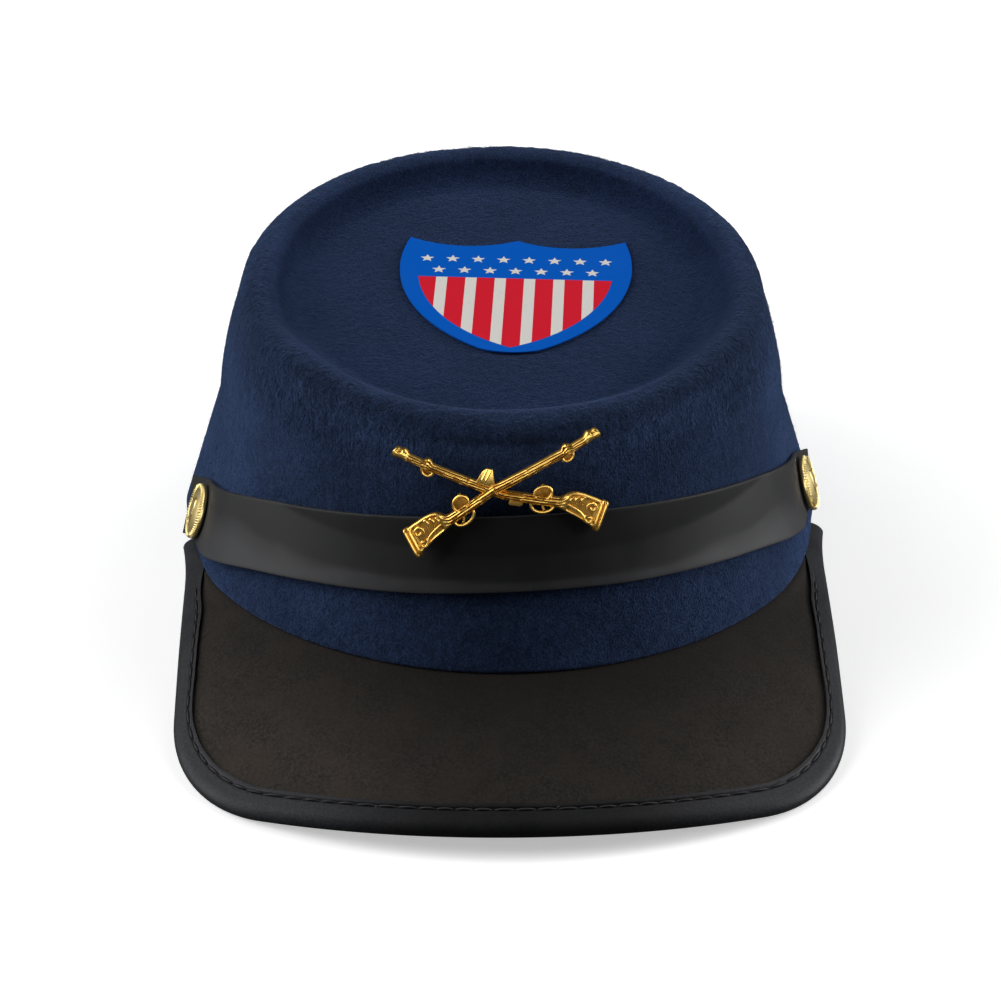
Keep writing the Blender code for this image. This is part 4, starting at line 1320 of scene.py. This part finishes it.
def rifle_axis(rifle, station):
    """The middle of a rifle at a distance from its muzzle, and the way to its upper edge."""
    angle = math.radians(rifle["angle"])
    back = Vector((-math.cos(angle), -math.sin(angle)))
    top = Vector((-math.sin(angle), math.cos(angle))) * rifle["top"]
    stepped = min(max((station - STOCK_START) / (STOCK_WRIST - STOCK_START), 0), 1)
    drop = math.tan(math.radians(rifle["drop"])) * max(station - STOCK_WRIST, 0)
    return Vector(rifle["muzzle"]) + back * station + top * (rifle["step"] * stepped - drop), top


def on_rifle(rifle, station, height, out):
    """A point of the slightly bent badge: along a rifle, above its axis, and out from the badge's back."""
    axis, top = rifle_axis(rifle, station)
    flat = axis + top * height
    turn = flat.x / BADGE_BEND_RADIUS
    radius = BADGE_BEND_RADIUS + rifle["out"] + out
    return Vector((radius * math.sin(turn), flat.y, radius * math.cos(turn) - BADGE_BEND_RADIUS))


def badge_place():
    place = wall_at_height(BADGE_PLACE, BADGE_HEIGHT, BADGE_STAND_OFF)
    out = outward(BADGE_PLACE) * math.cos(BADGE_LEAN) + Vector((0, 0, math.sin(BADGE_LEAN)))
    return facing(place, Vector((0, 0, 1)).cross(out).normalized(), out)


STOCK_FACE = 0.0458  # the station where the barrel's relief ends and the stock's begins
GROOVES = (0.27, 0.55, 0.80)
EYES = (
    # station, share of the width
    (0.0016, 0.72),
    (0.0098, 0.78),
)
BANDS = (
    # station, half width
    (0.0088, 0.0009),
    (0.0205, 0.0006),
    (0.0300, 0.0005),
    (0.0345, 0.0005),
)
BUTT_RIDGES = (0.0545, 0.0558)
BUTT_VALLEY = 0.0551


def barrel_relief(station, share, height, recess, stock):
    """Cuts the grooves and the eyes into a rifle's rounded part and raises its bands."""
    along = smooth_share(station, 0.0032, 0.0042) * (1 - stock)
    for groove in GROOVES:
        wander = 0.022 * math.sin(station / 0.0024 + 9 * groove) + 0.008 * math.sin(station / 0.0009)
        cut = bump_at(share, groove + wander, 0.092) * along
        height -= 0.50 * MM * cut
        recess = max(recess, min(1.35 * cut, 1.0))
    for eye, above in EYES:
        hole = bump_at(math.hypot((station - eye) / 0.0007, (share - above) / 0.17), 0.0, 1.0)
        height -= 0.80 * MM * hole
        recess = max(recess, hole)
    for band, half_width in BANDS:
        raised = bump_at(station, band, half_width)
        height += 0.20 * MM * raised
        recess *= 1 - 0.5 * raised
    return height, recess


def stock_relief(station, share, height, recess):
    """Sinks a panel into a rifle's stock and shapes the butt plate's two ridges."""
    panel = smooth_share(station, 0.0456, 0.0466) * (1 - smooth_share(station, 0.0536, 0.0543))
    panel *= smooth_share(share, 0.07, 0.15) * (1 - smooth_share(share, 0.84, 0.92))
    height -= 0.55 * MM * panel
    for ridge in BUTT_RIDGES:
        height += 0.30 * MM * bump_at(station, ridge, 0.0005)
    valley = bump_at(station, BUTT_VALLEY, 0.0003)
    return height - 0.40 * MM * valley, max(recess, 0.78 * panel, 0.9 * valley)


def rifle_relief(station, share):
    """Height of a rifle's face and how much of a hollow it is, at a station and a share of its width."""
    side = abs(2 * share - 1)
    stock = smooth_share(station, 0.0434, 0.0456)
    barrel = (0.40 + 1.60 * (1 - side**2) ** 0.5) * MM
    flat = (0.60 + 1.00 * (1 - side**5) ** 0.5) * MM
    height = barrel + (flat - barrel) * stock
    recess = 0.02 + 0.55 * side**8
    if station < STOCK_FACE:
        return barrel_relief(station, share, height, recess, stock)
    return stock_relief(station, share, height, recess)


FACE_POINTS = 34
STATION_STEP = 0.26 * MM


def make_rifle(shape, rifle):
    stations = []
    for (low, *_), (high, *_) in zip(RIFLE_OUTLINE, RIFLE_OUTLINE[1:]):
        steps = max(1, round((high - low) / STATION_STEP))
        stations += [low + (high - low) * i / steps for i in range(steps)]
    stations.append(RIFLE_OUTLINE[-1][0])
    hollows = []

    def place(column, row):
        station = stations[column]
        above, below = table_at(RIFLE_OUTLINE, station)
        row = row % (FACE_POINTS + 3)
        if row <= FACE_POINTS:
            share = (1 - math.cos(math.pi * row / FACE_POINTS)) / 2
            height, hollow = rifle_relief(station, share)
        else:
            share = 1.0 if row == FACE_POINTS + 1 else 0.0
            height, hollow = 0.0, 0.8
        hollows.append(hollow)
        return on_rifle(rifle, station, -below + (above + below) * share, height)

    made = grid_sheet(shape, len(stations) - 1, FACE_POINTS + 3, place)
    for vertex, hollow in zip(made, hollows):
        paint(shape, "recess", [vertex], hollow)
    fill_holes(shape, weld(shape, made))


def wire(shape, rifle, points, radius, out, recess, sides=6, looped=False):
    """A wire over a rifle: points are (station, height above the axis), and out is how far it stands off."""
    path = [on_rifle(rifle, station, height, out) for station, height in points]
    paint(shape, "recess", tube(shape, path, radius, sides=sides, looped=looped), recess)


def curl(station, height, along, across, start=0.0, end=360.0, steps=22, narrowing=0.0):
    """Points of a ring, a bow or a scroll on a rifle, turns in degrees. A ring's start isn't repeated."""
    points = []
    for i in range(steps if end - start == 360 else steps + 1):
        share = i / steps
        turn = math.radians(start + (end - start) * share)
        shrunk = narrowing * share
        aside = (along - shrunk) * math.cos(turn)
        points.append((station + aside, height + (across - shrunk) * math.sin(turn)))
    return points


def plate(shape, rifle, corners, low, high, recess):
    """A small flat boss on a rifle over corners (station, height), from low to high off the badge's back."""
    before = set(shape.verts)
    under, over = [[shape.verts.new(on_rifle(rifle, *at, out)) for at in corners] for out in (low, high)]
    faces = [shape.faces.new(under), shape.faces.new(over)]
    for i in range(len(corners)):
        j = (i + 1) % len(corners)
        faces.append(shape.faces.new((under[i], under[j], over[j], over[i])))
    bmesh.ops.recalc_face_normals(shape, faces=faces)
    edges = edges_at(under + over)
    soft = {"offset": 0.13 * MM, "segments": 2, "profile": 0.5, "material": -1, "clamp_overlap": True}
    bmesh.ops.bevel(shape, geom=edges, affect="EDGES", **soft)
    paint(shape, "recess", [vertex for vertex in shape.verts if vertex not in before], recess)


SCROLLS = (
    # middle's station, its height, first radius, last radius, first turn and last turn in degrees
    (0.0525, 0.0014, 0.0015, 0.0003, 210, -190),
    (0.0527, -0.0016, 0.0013, 0.0003, 150, 500),
    (0.0502, 0.0025, 0.0013, 0.0008, 250, 110),
    (0.0487, 0.0021, 0.0013, 0.0008, 250, 110),
    (0.0473, 0.0016, 0.0011, 0.0008, 250, 120),
)
SCROLL_OUT = 1.12 * MM
SCROLL_SWELLING = swelling(0.34, 0.16)
# The shapes below are outlines of (station, height above the rifle's axis)
STEM = (
    (0.0462, 0.0002), (0.0474, 0.0), (0.0486, -0.0003),
    (0.0498, -0.0007), (0.0508, -0.0012), (0.0514, -0.0019),
)
HAMMER = ((0.0386, 0.0037), (0.0383, 0.0044), (0.0379, 0.0041))
TRIGGER = ((0.0400, -0.0010), (0.0404, -0.0019), (0.0409, -0.0024))
SIGHT_BLOCK = (
    (0.0222, 0.0004), (0.0276, 0.0004), (0.0260, 0.0036),
    (0.0251, 0.0054), (0.0235, 0.0052), (0.0227, 0.0040),
)
SIGHT_RIBS = (((0.0234, 0.0020), (0.0238, 0.0050)), ((0.0244, 0.0022), (0.0248, 0.0051)))
UNDER_BLOCK = (
    (0.0318, -0.0020), (0.0322, -0.0024), (0.0348, -0.0024),
    (0.0353, -0.0020), (0.0352, 0.0), (0.0319, 0.0),
)
RING = {"station": 0.0391, "height": 0.0020, "along": 0.0021, "across": 0.0019}
GUARD = {"station": 0.0401, "height": -0.0013, "along": 0.0028, "across": 0.0019, "start": 178, "end": 362}
SWIVEL = {"station": 0.0098, "height": -0.0011, "along": 0.0015, "across": 0.0013, "start": 178, "end": 362}
SWIVEL_EYE = {"station": 0.0098, "height": -0.0012, "along": 0.0011, "across": 0.0009}
WIRES = (
    # points, radius, how far out, how much of a hollow, sides, whether the ends meet
    (curl(**RING, steps=28), 0.42 * MM, 1.15 * MM, 0.0, 7, True),
    (HAMMER, 0.34 * MM, 1.10 * MM, 0.0, 6, False),
    (curl(**GUARD, steps=18), 0.46 * MM, 0.95 * MM, 0.05, 7, False),
    (TRIGGER, 0.36 * MM, 1.00 * MM, 0.1, 6, False),
    (curl(**SWIVEL, steps=14), 0.42 * MM, 0.85 * MM, 0.1, 7, False),
    (STEM, lambda share: (0.34 + 0.12 * share) * MM, SCROLL_OUT, 0.0, 8, False),
)
RING_FLOORS = (
    # corners, lowest and highest, how much of a hollow
    (curl(**RING, steps=18), 0.30 * MM, 0.85 * MM, 0.9),
    (curl(**SWIVEL_EYE, steps=12), 0.30 * MM, 0.65 * MM, 0.8),
)


def make_badge(material):
    shape = new_shape("recess")
    for rifle in RIFLES:
        make_rifle(shape, rifle)
        for shaped in WIRES:
            wire(shape, rifle, *shaped)
        for shaped in RING_FLOORS:
            plate(shape, rifle, *shaped)
        for station, height, first, last, start, end in SCROLLS:
            points = curl(station, height, first, first, start, end, narrowing=first - last)
            wire(shape, rifle, points, SCROLL_SWELLING, SCROLL_OUT, 0.0, sides=8)
    plate(shape, RIFLES[1], SIGHT_BLOCK, 0.30 * MM, 1.30 * MM, 0.10)
    for rib in SIGHT_RIBS:
        wire(shape, RIFLES[1], rib, 0.28 * MM, 1.25 * MM, 0.0)
    plate(shape, RIFLES[1], UNDER_BLOCK, 0.20 * MM, 1.00 * MM, 0.40)
    mesh = to_mesh(shape, REST @ badge_place())
    return add_piece("badge_casting", mesh, material, "badge_gold", node="rifles_badge", sharp=55)


# --- shield patch


def circle_through(start, end, radius):
    """The middle of an arc that bulges to the right of its direction, or to the left if the radius is < 0."""
    start, end = Vector(start), Vector(end)
    half = (end - start) / 2
    right = Vector((half.y, -half.x)).normalized()
    depth = math.sqrt(radius**2 - half.length_squared)
    return start + half - right * math.copysign(depth, radius)


FOOT_CIRCLE = circle_through((0, SHIELD_FOOT), SHIELD_FOOT_CORNER, SHIELD_FOOT_RADIUS)
SIDE_CIRCLE = circle_through(SHIELD_FOOT_CORNER, SHIELD_TIP, SHIELD_SIDE_RADIUS)
TOP_CIRCLE = circle_through(SHIELD_TIP, (0, SHIELD_CUSP), -SHIELD_TOP_RADIUS)
SHIELD_WIDEST = SIDE_CIRCLE.x + SHIELD_SIDE_RADIUS
SHIELD_ROUND = 0.12  # the share of the card's columns in each rounded side
PANEL_HALF = 0.0268
PANEL_TOP = 0.0062
PANEL_FOOT = -0.0304
PANEL_SIDE_RADIUS = 0.046
PANEL_CIRCLE = circle_through((0, PANEL_FOOT), (PANEL_HALF, PANEL_TOP), PANEL_SIDE_RADIUS)
STRIPE_WIDTHS = {"red": 0.0050, "white": 0.0031}
STAR_RADIUS = 0.0020
STAR_POINTS = 10  # tips and notches
STAR_NOTCH = 0.44
STAR_PITCH = 0.0071
STAR_ROWS = (
    # stars, height
    (8, 0.0163),
    (7, 0.0102),
)
INK = 0.03 * MM


def arc_y(circle, radius, x):
    """How far a circle's edge is above or below its middle at x."""
    return math.sqrt(max(radius**2 - (abs(x) - circle.x) ** 2, 0.0))


def shield_low(x):
    side = SIDE_CIRCLE.y - arc_y(SIDE_CIRCLE, SHIELD_SIDE_RADIUS, x)
    if abs(x) < SHIELD_FOOT_CORNER[0]:
        return max(side, FOOT_CIRCLE.y - arc_y(FOOT_CIRCLE, SHIELD_FOOT_RADIUS, x))
    return side


def shield_high(x):
    if abs(x) <= SHIELD_TIP[0]:
        return TOP_CIRCLE.y - arc_y(TOP_CIRCLE, SHIELD_TOP_RADIUS, x)
    return SIDE_CIRCLE.y + arc_y(SIDE_CIRCLE, SHIELD_SIDE_RADIUS, x)


def across_shield(share):
    """x across the shield, with steps that close up towards its rounded sides."""
    if share < SHIELD_ROUND:
        rounded = math.cos(math.pi / 2 * share / SHIELD_ROUND)
        return -SHIELD_TIP[0] - (SHIELD_WIDEST - SHIELD_TIP[0]) * rounded
    if share > 1 - SHIELD_ROUND:
        return -across_shield(1 - share)
    return SHIELD_TIP[0] * (2 * (share - SHIELD_ROUND) / (1 - 2 * SHIELD_ROUND) - 1)


def patch_place():
    x, y = PATCH_CENTRE
    lift = GAP + PATCH_THICKNESS / 2
    place = Vector((x, y - lift * math.sin(TOP_TILT), floor_height(y) + lift * math.cos(TOP_TILT)))
    return Matrix.Translation(place) @ Matrix.Rotation(TOP_TILT, 4, "X") @ Matrix.Rotation(PATCH_TURN, 4, "Z")


def card_point(x, y, out):
    """A point of the card, which lies nearly flat and curls up a little at its foot."""
    return Vector((x, y, out + 0.2 * MM * smooth_share(-y, 0.012, 0.034)))


def thicken(shape, thickness):
    """Gives a flat shape its thickness, upwards."""
    weld(shape, shape.verts)
    bmesh.ops.dissolve_degenerate(shape, edges=shape.edges, dist=MERGE / 2)
    made = bmesh.ops.extrude_face_region(shape, geom=list(shape.faces), use_keep_orig=True)
    moved = [item for item in made["geom"] if isinstance(item, bmesh.types.BMVert)]
    bmesh.ops.translate(shape, verts=moved, vec=(0, 0, thickness))
    return shape


def card_piece(columns, rows, x_at, low_at, high_at, out, thickness):
    """A thin flat piece between a lower and an upper edge, which are functions of x."""
    shape = new_shape()

    def place(column, row):
        x = x_at(column / columns)
        low, high = low_at(x), high_at(x)
        return card_point(x, low + (high - low) * row / rows, out)

    grid_sheet(shape, columns, rows, place)
    return thicken(shape, thickness)


def stripe(middle, width):
    start = max(middle - width / 2, -PANEL_HALF)
    end = min(middle + width / 2, PANEL_HALF)
    return card_piece(
        6, 24, lambda share: start + (end - start) * share,
        lambda x: PANEL_CIRCLE.y - arc_y(PANEL_CIRCLE, PANEL_SIDE_RADIUS, x), lambda x: PANEL_TOP,
        PATCH_THICKNESS / 2, INK,
    )


def star(x, y):
    shape = new_shape()
    ring = bmesh.ops.create_circle(shape, cap_ends=False, radius=STAR_RADIUS, segments=STAR_POINTS)["verts"]
    for i, vertex in enumerate(ring):
        radius = STAR_RADIUS if i % 2 == 0 else STAR_RADIUS * STAR_NOTCH
        turn = math.pi / 2 + 2 * math.pi * i / STAR_POINTS
        vertex.co = card_point(x + radius * math.cos(turn), y + radius * math.sin(turn), PATCH_THICKNESS / 2)
    shape.faces.new(ring)
    return thicken(shape, INK)


def make_patch(blue, red, white):
    place = REST @ patch_place()
    half = PATCH_THICKNESS / 2
    card = card_piece(100, 40, across_shield, shield_low, shield_high, -half, PATCH_THICKNESS)
    add_piece("shield_card", to_mesh(card, place), blue, "printed_card", node="shield_patch", sharp=40)
    print_red, print_white = new_shape(), new_shape()
    pitch = sum(STRIPE_WIDTHS.values())
    for i in range(-3, 4):
        join_into(print_red, stripe(i * pitch, STRIPE_WIDTHS["red"]))
        if i < 3:
            join_into(print_white, stripe((i + 0.5) * pitch, STRIPE_WIDTHS["white"]))
    for count, height in STAR_ROWS:
        for i in range(count):
            join_into(print_white, star((i - (count - 1) / 2) * STAR_PITCH, height))
    add_piece("shield_red_stripes", to_mesh(print_red, place), red, "printed_card", sharp=40)
    add_piece("shield_white_print", to_mesh(print_white, place), white, "printed_card", sharp=40)


# --- stage

WORLD_STRENGTH = 0.03
WORLD_SEEN = 0.92  # more of it for the camera, so that the background is pale
FLOOR_SIZE = 4.0
FLOOR_BOUNCE = 0.14  # how pale the floor is for the light that it throws back up
FLOOR_GLOW = 0.45


def make_stage():
    shape = new_shape()
    bmesh.ops.create_grid(shape, x_segments=1, y_segments=1, size=FLOOR_SIZE, calc_uvs=True)
    floor = put_in_scene("floor", to_mesh(shape, Matrix()))
    material, tree, shader = new_material("Pale floor")
    seen = mix_colour(tree, cloud(tree, object_vector(tree), 40.0), (0.88, 0.88, 0.88), (0.92, 0.92, 0.92))
    straight = node(tree, "LightPath").outputs["Is Camera Ray"]
    colour = mix_colour(tree, straight, (FLOOR_BOUNCE, FLOOR_BOUNCE, FLOOR_BOUNCE), seen)
    glow = math_node(tree, "MULTIPLY", straight, FLOOR_GLOW)
    fill(shader, Base_Color=colour, Roughness=0.9, Specular_IOR_Level=0.0)
    fill(shader, Emission_Color=(1.0, 1.0, 1.0), Emission_Strength=glow)
    floor.data.materials.append(material)
    world = bpy.data.worlds.new("Studio")
    world.use_nodes = True
    straight = node(world.node_tree, "LightPath").outputs["Is Camera Ray"]
    strength = math_node(world.node_tree, "MULTIPLY_ADD", straight, WORLD_SEEN, WORLD_STRENGTH)
    fill(world.node_tree.nodes["Background"], Color=(1.0, 1.0, 1.0), Strength=strength)
    bpy.context.scene.world = world
    bpy.context.scene.view_settings.view_transform = "Standard"


SOFTBOXES = (
    # name, place, width, height, watts; all of them face the cap
    ("left_low", (-1.30, 0.05, 0.36), 0.8, 0.7, 7.6),
    ("left_high", (-1.05, 0.05, 0.90), 0.8, 0.7, 7.0),
    ("right_low", (1.30, 0.05, 0.36), 0.8, 0.7, 12.4),
    ("right_high", (1.05, 0.05, 0.90), 0.8, 0.7, 2.5),
    ("over_left", (-0.72, 0.38, 1.12), 0.7, 0.7, 3.4),
    ("over_right", (0.72, 0.38, 1.12), 0.7, 0.7, 3.4),
    ("front_card", (0.0, -1.25, 0.72), 1.7, 0.8, 9.5),
)
CAP_MIDDLE = Vector((0, 0, 0.04))


def make_lights(fittings):
    """The softboxes. The front card lights the metal fittings alone."""
    for name, place, width, height, power in SOFTBOXES:
        light = bpy.data.lights.new(name, "AREA")
        light.shape = "RECTANGLE"
        light.size = width
        light.size_y = height
        light.energy = power
        lamp = put_in_scene(name, light)
        lamp.location = place
        lamp.rotation_euler = (CAP_MIDDLE - Vector(place)).to_track_quat("-Z", "Y").to_euler()
        if name == "front_card":
            lamp.light_linking.receiver_collection = fittings


def make_camera():
    level = math.cos(CAMERA_RISE)
    back = Vector((math.sin(CAMERA_TURN) * level, -math.cos(CAMERA_TURN) * level, math.sin(CAMERA_RISE)))
    right = Vector((0, 0, 1)).cross(back).normalized()
    data = bpy.data.cameras.new("camera")
    data.sensor_width = SENSOR
    data.lens = FOCAL_PIXELS * SENSOR / PHOTO_SIDE
    data.clip_start = 0.05
    data.clip_end = 20.0
    camera = put_in_scene("camera", data)
    camera.matrix_world = REST @ facing(CAMERA_AIM + back * CAMERA_DISTANCE, right, back)
    bpy.context.scene.camera = camera


def main():
    nap, lint, tarnish = nap_group(), lint_group(), tarnish_group()
    make_camera()
    make_stage()
    make_crown(felt_material(nap, lint))
    make_nap(strand_material())
    make_strap(satin_material(lint))
    brass = metal_material("Stamped brass", tarnish, (1.00, 0.82, 0.38), (0.38, 0.30, 0.14), 0.30, 500.0)
    fittings = bpy.data.collections.new("Metal fittings")
    for name, angle in BUTTON_PLACES.items():
        fittings.objects.link(make_button(name, angle, brass))
    make_peak(suede_material(nap, lint), tape_material(lint))
    make_stitches(
        thread_material("Black sewing thread", (0.004, 0.004, 0.005), (0.014, 0.014, 0.016), 0.6, 0.05 * MM),
        thread_material("Tan thread end", (0.10, 0.065, 0.030), (0.22, 0.15, 0.08), 0.8),
    )
    gold = metal_material("Gold casting", tarnish, (1.00, 0.63, 0.15), (0.22, 0.088, 0.009), 0.27, 700.0)
    fittings.objects.link(make_badge(gold))
    make_lights(fittings)
    make_patch(
        ink_material("Blue ink", (0.0, 0.102, 0.53), 0.44),
        ink_material("Red ink", (0.68, 0.013, 0.031), 0.44),
        ink_material("White ink", (0.74, 0.71, 0.67), 0.46),
    )


main()
